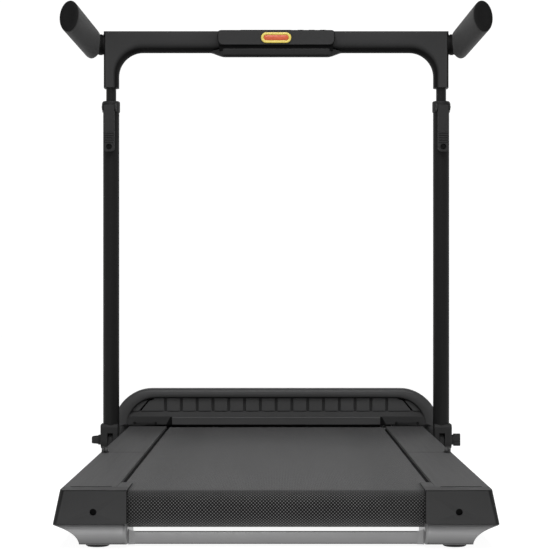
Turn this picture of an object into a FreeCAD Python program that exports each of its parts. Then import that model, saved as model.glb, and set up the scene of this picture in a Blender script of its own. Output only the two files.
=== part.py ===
import FreeCAD, Part

import math
import os
import re

import Sketcher

# Folding home treadmill.  X runs across the deck, +Y points from the rear end to the motor hood,
# +Z is up, and the origin is on the floor under the middle of the machine.  Millimetres.

SIZES = {
    # Stations along the machine
    "rear_end": -752.5,
    "front_end": 752.5,
    "seam": -152.5,
    "seam_half_gap": 1.5,
    "fold_height": 84.5,
    "post_line": 335.5,
    "hood_back": 450.5,
    "rear_roller_line": -722.5,
    "front_roller_line": 477.5,
    "motor_line": 607.5,
    "motor_height": 70,
    "wheel_line": 717.5,
    # Deck boards and cushions
    "board_half_width": 262,
    "board_bottom": 62.5,
    "board_thick": 15,
    "board_gap": 3,
    "board_front": 432.5,
    "board_rear_margin": 62,
    "cushion_long": 40,
    "cushion_wide": 20,
    "cushion_inner": 245,
    "cushion_margin": 70,
    "cushion_pitch": 150,
    "rear_cushion_margin": 100,
    "rear_cushion_pitch": 140,
    # Belt and rollers
    "belt_half_width": 217.5,
    "belt_thick": 2,
    "belt_radius": 26,
    "belt_seam_gap": 0.5,
    "roller_height": 53.5,
    "roller_radius": 23.7,
    "roller_half_length": 215,
    "roller_bore_past": 30,
    "axle_radius": 7.95,
    "axle_fit": 0.05,
    "axle_half_length": 263,
    # Welded frame
    "beam_inner": 240,
    "beam_wide": 30,
    "beam_bottom": 20,
    "beam_high": 40,
    "beam_wall": 2.5,
    "beam_gap": 2,
    "beam_rear_margin": 14,
    "cross_bottom": 32,
    "cross_high": 28,
    "cross_wide": 40,
    "cross_wall": 2,
    "cross_seam_margin": 60,
    "cross_board_line": 397.5,
    "cross_nose_line": 687.5,
    "cross_rear_line": -552.5,
    "cross_fold_margin": 40,
    # Rail covers
    "rail_inner": 224,
    "rail_top": 82,
    "rail_top_outer": 299.5,
    "rail_foot_outer": 309.5,
    "rail_foot": 35,
    "rail_wall": 3,
    "rail_gap": 0.5,
    # Rear end
    "cap_inner": 206.4,
    "cap_depth": 44,
    "cap_top_wall": 2,
    "tongue_depth": 106,
    "bolt_across": 253,
    "bolt_height": 52.5,
    "bolt_radius": 4,
    "bolt_long": 30,
    "bolt_head_radius": 6.5,
    "bolt_head_high": 7,
    "bolt_access_radius": 4.75,
    "bolt_plate_radius": 4.2,
    "end_plate_thick": 4,
    "dropout_half": 9.5,
    "dropout_reach": 25,
    "casting_inner": 221,
    "casting_outer": 309,
    "casting_long": 120,
    "casting_bottom": 6,
    "casting_plate_inner": 206,
    "casting_pocket_margin": 12,
    "casting_pocket_high": 20,
    "casting_pocket_fit": 0.5,
    "cove_across": 304,
    "cove_height": 3,
    "cove_radius": 31,
    "bar_front": 25,
    "bar_deep": 25,
    "bar_bottom": 4,
    "bar_high": 18.5,
    # Feet
    "pad_radius": 17,
    "rear_pad_across": 250,
    "rear_pad_margin": 37.5,
    "foot_across": 255,
    "foot_seam_margin": 40,
    "foot_nose_line": 647.5,
    # Fold hinge
    "ear_radius": 6.5,
    "ear_thick": 4,
    "ear_strip": 6.5,
    "ear_foot": 45,
    "ear_base_long": 28,
    "ear_base_high": 12,
    "front_ear": 289,
    "rear_ear": 294,
    "hinge_pin_radius": 3,
    "hinge_pin_long": 10.5,
    "notch_inner": 286.5,
    "notch_wide": 12.7,
    "notch_reach": 13,
    "notch_deep": 12,
    # Motor hood
    "hood_half_width": 331,
    "hood_bottom": 33,
    "hood_top": 157,
    "hood_shoulder": 75.5,
    "hood_wall": 3,
    "hood_flat": 60,
    "hood_nose": 88,
    "hood_mouth_half": 311,
    "hood_mouth_top": 85,
    "hood_rib_bottom": 40,
    "hood_rib_high": 20,
    "hood_rib_thick": 4,
    "hood_rib_back_line": 520,
    "hood_rib_nose_line": 640,
    "vent_half_width": 275,
    "vent_bottom": 112.6,
    "vent_high": 26.7,
    "vent_thick": 4,
    "vent_slot_wide": 7.5,
    "vent_slot_pitch": 32.3,
    "vent_slots_each_side": 8,
    "vent_slot_margin": 2,
    "screw_radius": 2.6,
    "screw_proud": 0.8,
    "screw_lift": 4,
    "screw_inner": 245.6,
    "screw_outer": 289,
    # Drive
    "pulley_inner": 221,
    "pulley_wide": 16,
    "pulley_flange": 2,
    "pulley_sleeve_radius": 14,
    "roller_pulley_radius": 33,
    "motor_pulley_radius": 13,
    "drive_belt_thick": 2,
    "drive_belt_gap": 0.3,
    "motor_start": 60,
    "motor_long": 135,
    "motor_radius": 40,
    "motor_wall": 6,
    "motor_chamber_radius": 30,
    "shaft_radius": 5,
    "shaft_gap": 0.3,
    "core_radius": 28,
    "core_margin": 12,
    "flywheel_start": 200,
    "flywheel_radius": 35,
    "flywheel_thick": 12,
    "bracket_bottom": 22,
    "bracket_thick": 4,
    "bracket_deep": 75,
    "saddle_wide": 15,
    "saddle_deep": 48,
    "saddle_high": 12,
    "saddle_inset": 15,
    "controller_left": -200,
    "controller_wide": 140,
    "controller_deep": 120,
    "controller_back": 70,
    "controller_high": 48,
    # Transport wheels
    "wheel_radius": 26,
    "wheel_inner": 278,
    "wheel_wide": 24,
    "wheel_height": 29,
    "wheel_plate_thick": 4,
    "wheel_plate_back": 20,
    "wheel_plate_long": 30,
    "wheel_plate_high": 34,
    # Power panel
    "inlet_left": -262,
    "inlet_wide": 72,
    "inlet_bottom": 36,
    "inlet_high": 30,
    "inlet_deep": 32,
    "socket_left": -224,
    "socket_wide": 28,
    "socket_high": 20,
    "socket_deep": 20,
    "socket_lift": 5,
    "socket_core_margin": 7,
    "socket_core_high": 9,
    "socket_core_deep": 13,
    "switch_left": -256,
    "switch_wide": 24,
    "switch_high": 22,
    "switch_deep": 14,
    "switch_lift": 4,
    "rocker_lift": 2.5,
    "rocker_pin_play": 0.1,
    "rocker_inset": 1.5,
    "rocker_high": 17,
    "rocker_thick": 7,
    "rocker_back": 9,
    "rocker_tilt": 7,
    "rocker_pin_height": 51,
    "rocker_pin_back": 6,
    "rocker_pin_radius": 1.5,
    # Uprights
    "post_across": 326.5,
    "post_radius": 15.95,
    "post_wall": 2,
    "post_foot": 93,
    "post_head": 731.4,
    "pivot_height": 64,
    "pivot_bolt_radius": 4.95,
    "pivot_hole_radius": 5.05,
    "shoe_inner": 311.5,
    "shoe_wide": 34.9,
    "shoe_half_depth": 18,
    "shoe_plug_high": 25,
    "lug_inner": 322,
    "lug_thick": 10,
    "lug_half_depth": 13,
    "lug_gap": 0.5,
    "lug_arm_high": 13,
    "knob_inner": 346.9,
    "knob_hub_radius": 10,
    "knob_hub_long": 4,
    "knob_wing_long": 24,
    "knob_wing_short": 15,
    "knob_wing_thick": 14,
    "knob_bolt_depth": 9,
    "collar_radius": 17.5,
    "collar_bottom": 711,
    "collar_top": 733.4,
    "bushing_bottom": 700,
    "lever_shift": 2,
    "lever_half_width": 10.5,
    "lever_pin_back": 23.5,
    "lever_pin_height": 720,
    "lever_head_radius": 5,
    "lever_blade_inset": 0.5,
    "lever_thick": 8,
    "lever_foot": 632,
    "lever_pin_radius": 2,
    "clamp_ear_thick": 3,
    "clamp_ear_gap": 0.3,
    "clamp_ear_back": 5,
    "clamp_ear_deep": 18,
    "clamp_ear_high": 14,
    # Handlebar
    "rod_radius": 9.95,
    "rod_bore": 8,
    "rod_foot": 540,
    "rod_head": 775,
    "leg_inner": 310.9,
    "leg_outer": 340.2,
    "leg_foot": 759.2,
    "bar_under": 829,
    "bar_over": 870.5,
    "bar_half_depth": 18,
    "corner_radius": 48,
    "grip_height": 845.7,
    "stub_radius": 20.5,
    "stub_end": 351,
    "stub_root": 5,
    "grip_hub_radius": 20,
    "grip_hub_long": 27,
    "grip_gap": 0.3,
    "grip_relief": 1,
    "grip_root": 362,
    "grip_heel": 8,
    "grip_wide": 36,
    "grip_high": 59,
    "grip_long": 157,
    "grip_edge_radius": 17,
    "grip_lift": 12.6,
    "grip_splay": 11.7,
    # Console
    "console_half": 113,
    "console_back": 38,
    "console_lip": 838,
    "console_near_top": 869.5,
    "console_tilt": 7.1,
    "belly_step": 4,
    "belly_near": 12,
    "belly_low": 817,
    "belly_rise": 6,
    "belly_half": 137,
    "belly_foot_half": 101,
    "window_left": -70,
    "window_wide": 100,
    "window_long": 40,
    "window_margin": 9,
    "window_thick": 1.2,
    "window_sunk": 0.6,
    "button_radius": 7,
    "button_gap": 0.3,
    "button_first": 48,
    "button_pitch": 22,
    "button_margin": 10,
    "button_high": 3.6,
    "button_sunk": 3,
    "button_well": 5,
    "key_half_width": 29.5,
    "key_bottom": 844,
    "key_high": 20.5,
    "key_thick": 4,
    "plug_half_width": 10,
    "plug_bottom": 850,
    "plug_high": 9,
    "plug_long": 12,
    "plug_gap": 0.3,
}

doc = FreeCAD.newDocument("Treadmill")
dims = doc.addObject("Spreadsheet::Sheet", "Dims")
for row, (alias, size) in enumerate(SIZES.items(), start=1):
    dims.set(f"A{row}", alias)
    dims.set(f"B{row}", str(size))
    dims.setAlias(f"B{row}", alias)
doc.recompute()

NODES = []
SIDES = {"left": -1, "right": 1}


# ---------------------------------------------------------------------------------- helpers

def formula(text):
    """Turn plain size names into references to the sheet's cells."""
    return re.sub(r"[a-z_]+", lambda word: "Dims." + word[0] if word[0] in SIZES else word[0], str(text))


def bind(thing, **sizes):
    for name, text in sizes.items():
        thing.setExpression(name, formula(text))


def put(thing, x, y, z):
    for axis, text in zip("xyz", (x, y, z)):
        thing.setExpression("Placement.Base." + axis, formula(text))


def node(thing, label):
    """Name a finished sub-part; its label is its file's name."""
    thing.Label = label
    NODES.append(thing)
    return thing


def box(x, y, z, length, width, height):
    """Block from its lowest corner and its sizes along X, Y and Z."""
    block = doc.addObject("Part::Box", "Block")
    bind(block, Length=length, Width=width, Height=height)
    put(block, x, y, z)
    return block


def side_box(side, inner, y, z, length, width, height):
    """Block on one side of the machine, from its face nearest the middle."""
    x = f"{inner}" if side > 0 else f"-({inner}) - ({length})"
    return box(x, y, z, length, width, height)


TURNS = {
    "x": FreeCAD.Rotation(FreeCAD.Vector(0, 1, 0), 90),
    "y": FreeCAD.Rotation(FreeCAD.Vector(1, 0, 0), -90),
    "z": FreeCAD.Rotation(),
}


def rod(axis, x, y, z, radius, length):
    """Cylinder that starts at a point and runs along +X, +Y or +Z."""
    cylinder = doc.addObject("Part::Cylinder", "Rod")
    bind(cylinder, Radius=radius, Height=length)
    cylinder.Placement = FreeCAD.Placement(FreeCAD.Vector(), TURNS[axis])
    put(cylinder, x, y, z)
    return cylinder


def side_rod(side, inner, y, z, radius, length):
    """Cylinder across the machine on one side, from its end nearest the middle."""
    x = f"{inner}" if side > 0 else f"-({inner}) - ({length})"
    return rod("x", x, y, z, radius, length)


def fuse(*pieces):
    union = doc.addObject("Part::MultiFuse", "Union")
    union.Shapes = list(pieces)
    union.Refine = True
    return union


def cut(base, *tools):
    difference = doc.addObject("Part::Cut", "Difference")
    difference.Base = base
    difference.Tool = tools[0] if len(tools) == 1 else fuse(*tools)
    return difference


def group(*pieces):
    """Separate solids kept together in one sub-part."""
    compound = doc.addObject("Part::Compound", "Group")
    compound.Links = list(pieces)
    return compound


def outline(body, role, corners):
    """Closed sketch of straight edges on one of the body's planes, every corner bound to the sheet."""
    sketch = body.newObject("Sketcher::SketchObject", "Outline")
    plane = next(part for part in body.Origin.OriginFeatures if part.Role == role)
    sketch.AttachmentSupport = (plane, [""])
    sketch.MapMode = "FlatFace"
    count = len(corners)
    turns = [2 * math.pi * step / count for step in range(count)]
    start = [FreeCAD.Vector(math.cos(turn), math.sin(turn), 0) for turn in turns]
    for step in range(count):
        sketch.addGeometry(Part.LineSegment(start[step], start[(step + 1) % count]), False)
    for step in range(count):
        sketch.addConstraint(Sketcher.Constraint("Coincident", step, 2, (step + 1) % count, 1))
    for step, corner in enumerate(corners):
        for kind, reach, text in zip(("DistanceX", "DistanceY"), start[step], corner):
            index = sketch.addConstraint(Sketcher.Constraint(kind, -1, 1, step, 1, reach))
            sketch.setExpression(f"Constraints[{index}]", formula(text))
    return sketch


PLANES = {"x": "YZ_Plane", "y": "XZ_Plane", "z": "XY_Plane"}


def extrusion(axis, corners, start, length):
    """Body whose outline is pushed along +X, +Y or +Z from the start station."""
    body = doc.addObject("PartDesign::Body", "Extrusion")
    sketch = outline(body, PLANES[axis], corners)
    pad = body.newObject("PartDesign::Pad", "Pad")
    pad.Profile = sketch
    pad.Reversed = axis == "y"
    bind(pad, Length=length)
    body.setExpression("Placement.Base." + axis, formula(start))
    doc.recompute()
    return body


def round_edges(body, radius, wanted):
    """Fillet the edges of a body that the test picks out."""
    tip = body.Tip
    names = [f"Edge{index}" for index, edge in enumerate(tip.Shape.Edges, start=1) if wanted(edge)]
    fillet = body.newObject("PartDesign::Fillet", "Round")
    fillet.Base = (tip, names)
    bind(fillet, Radius=radius)
    doc.recompute()
    return fillet


def runs_along(edge, axis):
    """True for a straight edge parallel to the X, Y or Z axis."""
    if edge.Curve.TypeId != "Part::GeomLine":
        return False
    return abs(getattr(edge.Curve.Direction, axis)) > 0.999


def mirrored(side, corners):
    """The same outline on either side of the machine."""
    return corners if side > 0 else [(f"-({across})", up) for across, up in corners]


# ---------------------------------------------------------------------------------- deck halves

def tube_beam(side, start, length):
    outside = side_box(side, "beam_inner", start, "beam_bottom", "beam_wide", length, "beam_high")
    inside = side_box(side, "beam_inner + beam_wall", f"{start} - 1", "beam_bottom + beam_wall",
                      "beam_wide - 2 * beam_wall", f"{length} + 2", "beam_high - 2 * beam_wall")
    return cut(outside, inside)


def cross_member(middle):
    front = f"{middle} - cross_wide / 2"
    outside = box("-beam_inner", front, "cross_bottom", "2 * beam_inner", "cross_wide", "cross_high")
    inside = box("-beam_inner - 1", f"{front} + cross_wall", "cross_bottom + cross_wall",
                 "2 * beam_inner + 2", "cross_wide - 2 * cross_wall", "cross_high - 2 * cross_wall")
    return cut(outside, inside)


def deck_board(start, length):
    return box("-board_half_width", start, "board_bottom", "2 * board_half_width", length, "board_thick")


def cushions(first, pitch):
    """Four rubber pads on each side beam, under a deck board."""
    top = "beam_bottom + beam_high"
    stations = [f"{first} + {step} * {pitch}" for step in range(4)]
    return group(*[side_box(side, "cushion_inner", station, top, "cushion_wide", "cushion_long",
                            f"board_bottom - ({top})")
                   for side in SIDES.values() for station in stations])


def belt_half(roller_line, seam_face, seam_side):
    """Half of the belt: a top run and a bottom run that turn round one roller."""
    def racetrack(radius, half_width, overrun):
        length = f"({seam_face} - {roller_line}) * {-seam_side} + {overrun}"
        near = f"{roller_line}" if seam_side < 0 else f"{roller_line} - ({length})"
        runs = box(f"-{half_width}", near, f"roller_height - {radius}", f"2 * {half_width}", length,
                   f"2 * {radius}")
        turn = rod("x", f"-{half_width}", roller_line, "roller_height", radius, f"2 * {half_width}")
        return fuse(runs, turn)
    outside = racetrack("belt_radius", "belt_half_width", "0")
    inside = racetrack("(belt_radius - belt_thick)", "(belt_half_width + 1)", "1")
    return cut(outside, inside)


def rail_cover(side, start, length):
    """Cover over a side beam: flat tread strip, flared outer wall and a foot that meets the beam."""
    slope = "(rail_foot_outer - rail_top_outer) / (rail_top - rail_foot)"
    wall_across = f"rail_wall * sqrt(1 + ({slope}) * ({slope}))"
    beam_side = "beam_inner + beam_wide"
    board_top = "board_bottom + board_thick"
    corners = [
        ("rail_inner", board_top),
        ("rail_inner", "rail_top"),
        ("rail_top_outer", "rail_top"),
        ("rail_foot_outer", "rail_foot"),
        (beam_side, "rail_foot"),
        (beam_side, "rail_foot + rail_wall"),
        (f"rail_foot_outer - {slope} * rail_wall - {wall_across}", "rail_foot + rail_wall"),
        (f"rail_top_outer + {slope} * rail_wall - {wall_across}", "rail_top - rail_wall"),
        ("rail_inner + rail_wall", "rail_top - rail_wall"),
        ("rail_inner + rail_wall", board_top),
    ]
    cover = extrusion("y", mirrored(side, corners), start, length)
    notch = side_box(side, "notch_inner", "seam - notch_reach", "rail_top - notch_deep", "notch_wide",
                     "2 * notch_reach", "notch_deep + 1")
    return cut(cover, notch)


def hinge_ear(side, inner, toward):
    """Ear on one deck half: a base on the beam, an upright strip and a round head on the fold axis."""
    strip_face = "seam + seam_half_gap" if toward > 0 else "seam - seam_half_gap - ear_strip"
    base_face = "seam + seam_half_gap" if toward > 0 else "seam - seam_half_gap - ear_base_long"
    beam_side = "beam_inner + beam_wide"
    head = side_rod(side, inner, "seam", "fold_height", "ear_radius", "ear_thick")
    strip = side_box(side, inner, strip_face, "ear_foot", "ear_thick", "ear_strip",
                     "fold_height - ear_foot")
    base = side_box(side, beam_side, base_face, "ear_foot", f"{inner} + ear_thick - ({beam_side})",
                    "ear_base_long", "ear_base_high")
    hole_radius = "hinge_pin_radius" if toward > 0 else "hinge_pin_radius + axle_fit"
    hole = side_rod(side, f"{inner} - 1", "seam", "fold_height", hole_radius, "ear_thick + 2")
    return cut(fuse(head, strip, base), hole)


def foot_pad(side, across, station, height):
    shift = f"{across}" if side > 0 else f"-({across})"
    return rod("z", shift, station, "0", "pad_radius", height)


def build_chassis():
    start = "seam + beam_gap"
    node(group(*[tube_beam(side, start, f"wheel_line - ({start})") for side in SIDES.values()]),
         "chassis_side_beams")
    lines = ("seam + cross_seam_margin", "cross_board_line", "cross_nose_line")
    node(group(*[cross_member(line) for line in lines]), "chassis_cross_members")
    node(deck_board("seam + board_gap", "board_front - (seam + board_gap)"), "front_deck_board")
    node(cushions("seam + cushion_margin", "cushion_pitch"), "front_deck_cushions")
    node(belt_half("front_roller_line", "(seam + belt_seam_gap)", 1), "belt_front")
    for name, side in SIDES.items():
        cover = rail_cover(side, "seam + seam_half_gap", "hood_back - (seam + seam_half_gap)")
        node(cover, f"front_rail_{name}")
    pins = [side_rod(side, "front_ear - 1", "seam", "fold_height", "hinge_pin_radius", "hinge_pin_long")
            for side in SIDES.values()]
    node(group(*[hinge_ear(side, "front_ear", 1) for side in SIDES.values()], *pins),
         "front_hinge_ears")
    feet = [foot_pad(side, "foot_across", station, "beam_bottom")
            for side in SIDES.values() for station in ("seam + foot_seam_margin", "foot_nose_line")]
    node(group(*feet), "chassis_feet")
    node(group(*[post_lug(side) for side in SIDES.values()]), "post_pivot_lugs")


def post_lug(side):
    """Bracket welded to the beam that carries one upright's pivot."""
    beam_side = "beam_inner + beam_wide"
    face = "post_line - lug_half_depth"
    arm = side_box(side, beam_side, face, "beam_bottom", f"lug_inner + lug_thick - ({beam_side})",
                   "2 * lug_half_depth", "lug_arm_high")
    plate = side_box(side, "lug_inner", face, "beam_bottom", "lug_thick", "2 * lug_half_depth",
                     "pivot_height - beam_bottom")
    head = side_rod(side, "lug_inner", "post_line", "pivot_height", "lug_half_depth", "lug_thick")
    hole = side_rod(side, "lug_inner - 1", "post_line", "pivot_height", "pivot_hole_radius",
                    "lug_thick + 2")
    return cut(fuse(arm, plate, head), hole)


# ---------------------------------------------------------------------------------- rear half

def end_cap(side):
    """Hollow cap over a rear roller end, with a tongue along the belt's edge."""
    corners = [
        ("cap_inner", "rail_foot"),
        ("cap_inner", "rail_top"),
        ("rail_top_outer", "rail_top"),
        ("rail_foot_outer", "rail_foot"),
    ]
    shell = extrusion("y", mirrored(side, corners), "rear_end", "cap_depth")
    hollow_corners = [
        ("cap_inner - 1", "rail_foot - 1"),
        ("cap_inner - 1", "rail_top - cap_top_wall"),
        ("rail_top_outer - rail_wall", "rail_top - cap_top_wall"),
        ("rail_foot_outer - rail_wall", "rail_foot - 1"),
    ]
    hollow = extrusion("y", mirrored(side, hollow_corners), "rear_end + rail_wall", "cap_depth")
    shift = "bolt_across" if side > 0 else "-bolt_across"
    hole = rod("y", shift, "rear_end - 1", "bolt_height", "bolt_access_radius",
               "rail_wall + 2")
    tongue = side_box(side, "cap_inner", "rear_end + cap_depth", "rail_top - cap_top_wall",
                      "rail_inner - cap_inner", "tongue_depth - cap_depth", "cap_top_wall")
    return fuse(cut(shell, hollow, hole), tongue)


def rear_casting(side):
    """Coved casting that carries a rear corner and lets the side beam into its back."""
    block = side_box(side, "casting_inner", "rear_end", "casting_bottom",
                     "casting_outer - casting_inner", "casting_long", "rail_foot - casting_bottom")
    shift = "cove_across" if side > 0 else "-cove_across"
    cove = rod("y", shift, "rear_end - 1", "cove_height", "cove_radius", "casting_long + 2")
    pocket = side_box(side, "beam_inner - casting_pocket_fit", "rear_end + casting_pocket_margin",
                      "beam_bottom", "beam_wide + 2 * casting_pocket_fit", "casting_long",
                      "casting_pocket_high")
    plate = side_box(side, "casting_plate_inner", "rear_end", "casting_bottom",
                     "casting_inner - casting_plate_inner", "rail_wall", "rail_foot - casting_bottom")
    return fuse(cut(block, cove, pocket), plate)


def rear_beam(side):
    """Side beam with a welded end plate and a slot for the roller's axle."""
    face = "rear_end + beam_rear_margin"
    plate = side_box(side, "beam_inner + beam_wall", face, "beam_bottom + beam_wall",
                     "beam_wide - 2 * beam_wall", "end_plate_thick", "beam_high - 2 * beam_wall")
    beam = fuse(tube_beam(side, face, f"seam - beam_gap - ({face})"), plate)
    slot = side_box(side, "beam_inner - 1", "rear_roller_line - dropout_half",
                    "roller_height - axle_radius", "dropout_reach", "2 * dropout_half",
                    "3 * axle_radius")
    shift = "bolt_across" if side > 0 else "-bolt_across"
    hole = rod("y", shift, f"{face} - 1", "bolt_height", "bolt_plate_radius", "end_plate_thick + 2")
    return cut(beam, slot, hole)


def tension_bolt(side):
    shift = "bolt_across" if side > 0 else "-bolt_across"
    face = "rear_end + beam_rear_margin"
    head = rod("y", shift, f"{face} - bolt_head_high", "bolt_height", "bolt_head_radius",
               "bolt_head_high")
    shank = rod("y", shift, face, "bolt_height", "bolt_radius", "bolt_long")
    return fuse(head, shank)


def rear_axle():
    axle = rod("x", "-axle_half_length", "rear_roller_line", "roller_height", "axle_radius",
               "2 * axle_half_length")
    threads = [rod("y", shift, "rear_roller_line - axle_radius - 2", "bolt_height", "bolt_radius",
                   "2 * (axle_radius + 2)")
               for shift in ("bolt_across", "-bolt_across")]
    return cut(axle, *threads)


def roller(line):
    drum = rod("x", "-roller_half_length", line, "roller_height", "roller_radius",
               "2 * roller_half_length")
    bore = rod("x", "-roller_half_length - roller_bore_past", line, "roller_height", "axle_radius + axle_fit",
               "2 * (roller_half_length + roller_bore_past)")
    return drum, bore


def build_rear_deck():
    node(group(*[rear_beam(side) for side in SIDES.values()]), "rear_side_beams")
    lines = ("cross_rear_line", "seam - cross_fold_margin")
    node(group(*[cross_member(line) for line in lines]), "rear_cross_members")
    start = "rear_end + board_rear_margin"
    node(deck_board(start, f"seam - board_gap - ({start})"), "rear_deck_board")
    node(cushions("rear_end + rear_cushion_margin", "rear_cushion_pitch"), "rear_deck_cushions")
    node(belt_half("rear_roller_line", "(seam - belt_seam_gap)", -1), "belt_rear")
    for name, side in SIDES.items():
        start = "rear_end + cap_depth + rail_gap"
        cover = rail_cover(side, start, f"seam - seam_half_gap - ({start})")
        node(cover, f"rear_rail_{name}")
    for name, side in SIDES.items():
        node(end_cap(side), f"end_cap_{name}")
    for name, side in SIDES.items():
        node(rear_casting(side), f"rear_casting_{name}")
    node(box("-casting_inner", "rear_end + bar_front", "bar_bottom", "2 * casting_inner", "bar_deep",
             "bar_high"), "rear_stand_bar")
    feet = [foot_pad(side, "rear_pad_across", "rear_end + rear_pad_margin", "casting_bottom")
            for side in SIDES.values()]
    feet += [foot_pad(side, "foot_across", "seam - foot_seam_margin", "beam_bottom")
             for side in SIDES.values()]
    node(group(*feet), "rear_feet")
    node(group(*[hinge_ear(side, "rear_ear", -1) for side in SIDES.values()]), "rear_hinge_ears")
    node(rear_axle(), "rear_roller_axle")
    node(group(*[tension_bolt(side) for side in SIDES.values()]), "tension_bolts")
    drum, bore = roller("rear_roller_line")
    node(cut(drum, bore), "rear_roller")


# ---------------------------------------------------------------------------------- hood

def hood_solid(inset, drop):
    """Hood volume: round-shouldered section with a top that slopes down to the nose."""
    half_width = f"hood_half_width - {inset}"
    top = f"hood_top - {inset}"
    corners = [
        (f"-({half_width})", f"hood_bottom - {drop}"),
        (half_width, f"hood_bottom - {drop}"),
        (half_width, top),
        (f"-({half_width})", top),
    ]
    start = f"hood_back + {inset}"
    body = extrusion("y", corners, start, f"front_end - hood_back - 2 * {inset}")
    round_edges(body, f"hood_shoulder - {inset}",
                lambda edge: runs_along(edge, "y") and edge.CenterOfMass.z > 100)
    slope = outline(body, "YZ_Plane", [
        ("hood_flat", f"{top} + 1"),
        ("hood_flat", top),
        (f"front_end - hood_back - {inset}", f"hood_nose - {inset}"),
        ("front_end - hood_back + 1", f"hood_nose - {inset}"),
        ("front_end - hood_back + 1", f"{top} + 1"),
    ])
    pocket = body.newObject("PartDesign::Pocket", "Slope")
    pocket.Profile = slope
    pocket.Type = "ThroughAll"
    pocket.Midplane = True
    before = body.Shape.Volume
    doc.recompute()
    if body.Shape.Volume >= before:
        raise RuntimeError("the hood's slope cut nothing")
    return body


def hood_shell():
    mouth = box("-hood_mouth_half", "hood_back - 1", "hood_bottom - 2", "2 * hood_mouth_half",
                "hood_wall + 2", "hood_mouth_top - hood_bottom + 2")
    vent = box("-vent_half_width", "hood_back - 1", "vent_bottom", "2 * vent_half_width",
               "hood_wall + 2", "vent_high")
    inlet = box("inlet_left", "front_end - hood_wall - 1", "inlet_bottom", "inlet_wide",
                "hood_wall + 2", "inlet_high")
    shell = cut(hood_solid("0", "0"), hood_solid("hood_wall", "2"), mouth, vent, inlet)
    beam_side = "beam_inner + beam_wide"
    ribs = [side_box(side, beam_side, station, "hood_rib_bottom", f"hood_half_width - 1 - ({beam_side})",
                     "hood_rib_thick", "hood_rib_high")
            for side in SIDES.values() for station in ("hood_rib_back_line", "hood_rib_nose_line")]
    return fuse(shell, *ribs)


def vent_panel():
    """Recessed panel in the hood's rear wall with a row of upright slots."""
    panel = extrusion("y", [
        ("-vent_half_width", "vent_bottom"),
        ("vent_half_width", "vent_bottom"),
        ("vent_half_width", "vent_bottom + vent_high"),
        ("-vent_half_width", "vent_bottom + vent_high"),
    ], "hood_back + 1", "vent_thick")
    first = "-vent_slots_each_side * vent_slot_pitch"
    slot = outline(panel, "XZ_Plane", [
        (f"{first} - vent_slot_wide / 2", "vent_bottom + vent_slot_margin"),
        (f"{first} + vent_slot_wide / 2", "vent_bottom + vent_slot_margin"),
        (f"{first} + vent_slot_wide / 2", "vent_bottom + vent_high - vent_slot_margin"),
        (f"{first} - vent_slot_wide / 2", "vent_bottom + vent_high - vent_slot_margin"),
    ])
    pocket = panel.newObject("PartDesign::Pocket", "Slot")
    pocket.Profile = slot
    bind(pocket, Length="vent_thick / 2")
    doc.recompute()
    row = panel.newObject("PartDesign::LinearPattern", "SlotRow")
    row.Originals = [pocket]
    row.Direction = (slot, ["H_Axis"])
    bind(row, Length="2 * vent_slots_each_side * vent_slot_pitch")
    row.Occurrences = int(2 * dims.vent_slots_each_side + 1)
    panel.Tip = row
    whole = pocket.BaseFeature.Shape.Volume
    doc.recompute()
    if panel.Shape.Volume > 0.95 * whole:
        raise RuntimeError("the vent panel's slots are missing")
    return panel


def build_hood():
    node(hood_shell(), "hood_shell")
    node(vent_panel(), "hood_vent_panel")
    screws = [rod("y", across, "hood_back - screw_proud", "hood_mouth_top + screw_lift", "screw_radius",
                  "screw_proud")
              for across in ("-screw_outer", "-screw_inner", "screw_inner", "screw_outer")]
    node(group(*screws), "hood_screws")


# ---------------------------------------------------------------------------------- drive

def pulley_loop(radii):
    """Face bounded by a belt line that goes round the roller pulley and the motor pulley."""
    centres = [
        FreeCAD.Vector(0, dims.front_roller_line, dims.roller_height),
        FreeCAD.Vector(0, dims.motor_line, dims.motor_height),
    ]
    reach = centres[1] - centres[0]
    lean = math.atan2(reach.z, reach.y)
    wrap = math.acos((radii[0] - radii[1]) / reach.Length)

    def rim(which, turn):
        step = FreeCAD.Vector(0, math.cos(turn), math.sin(turn))
        return centres[which] + step * radii[which]

    top, bottom = lean + wrap, lean - wrap
    edges = [
        Part.Arc(rim(0, top), rim(0, lean + math.pi), rim(0, bottom)).toShape(),
        Part.LineSegment(rim(0, bottom), rim(1, bottom)).toShape(),
        Part.Arc(rim(1, bottom), rim(1, lean), rim(1, top)).toShape(),
        Part.LineSegment(rim(1, top), rim(0, top)).toShape(),
    ]
    return Part.Face(Part.Wire(edges))


def drive_belt():
    gap = dims.drive_belt_gap
    inner = [dims.roller_pulley_radius + gap, dims.motor_pulley_radius + gap]
    outer = [radius + dims.drive_belt_thick for radius in inner]
    across = FreeCAD.Vector(dims.pulley_wide - 2 * dims.pulley_flange, 0, 0)
    start = FreeCAD.Vector(dims.pulley_inner + dims.pulley_flange, 0, 0)
    belt = doc.addObject("Part::Feature", "DriveBelt")
    belt.Shape = pulley_loop(outer).extrude(across).cut(pulley_loop(inner).extrude(across))
    belt.Placement = FreeCAD.Placement(start, FreeCAD.Rotation())
    return belt


def motor_rod(start, radius, length):
    return rod("x", start, "motor_line", "motor_height", radius, length)


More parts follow.
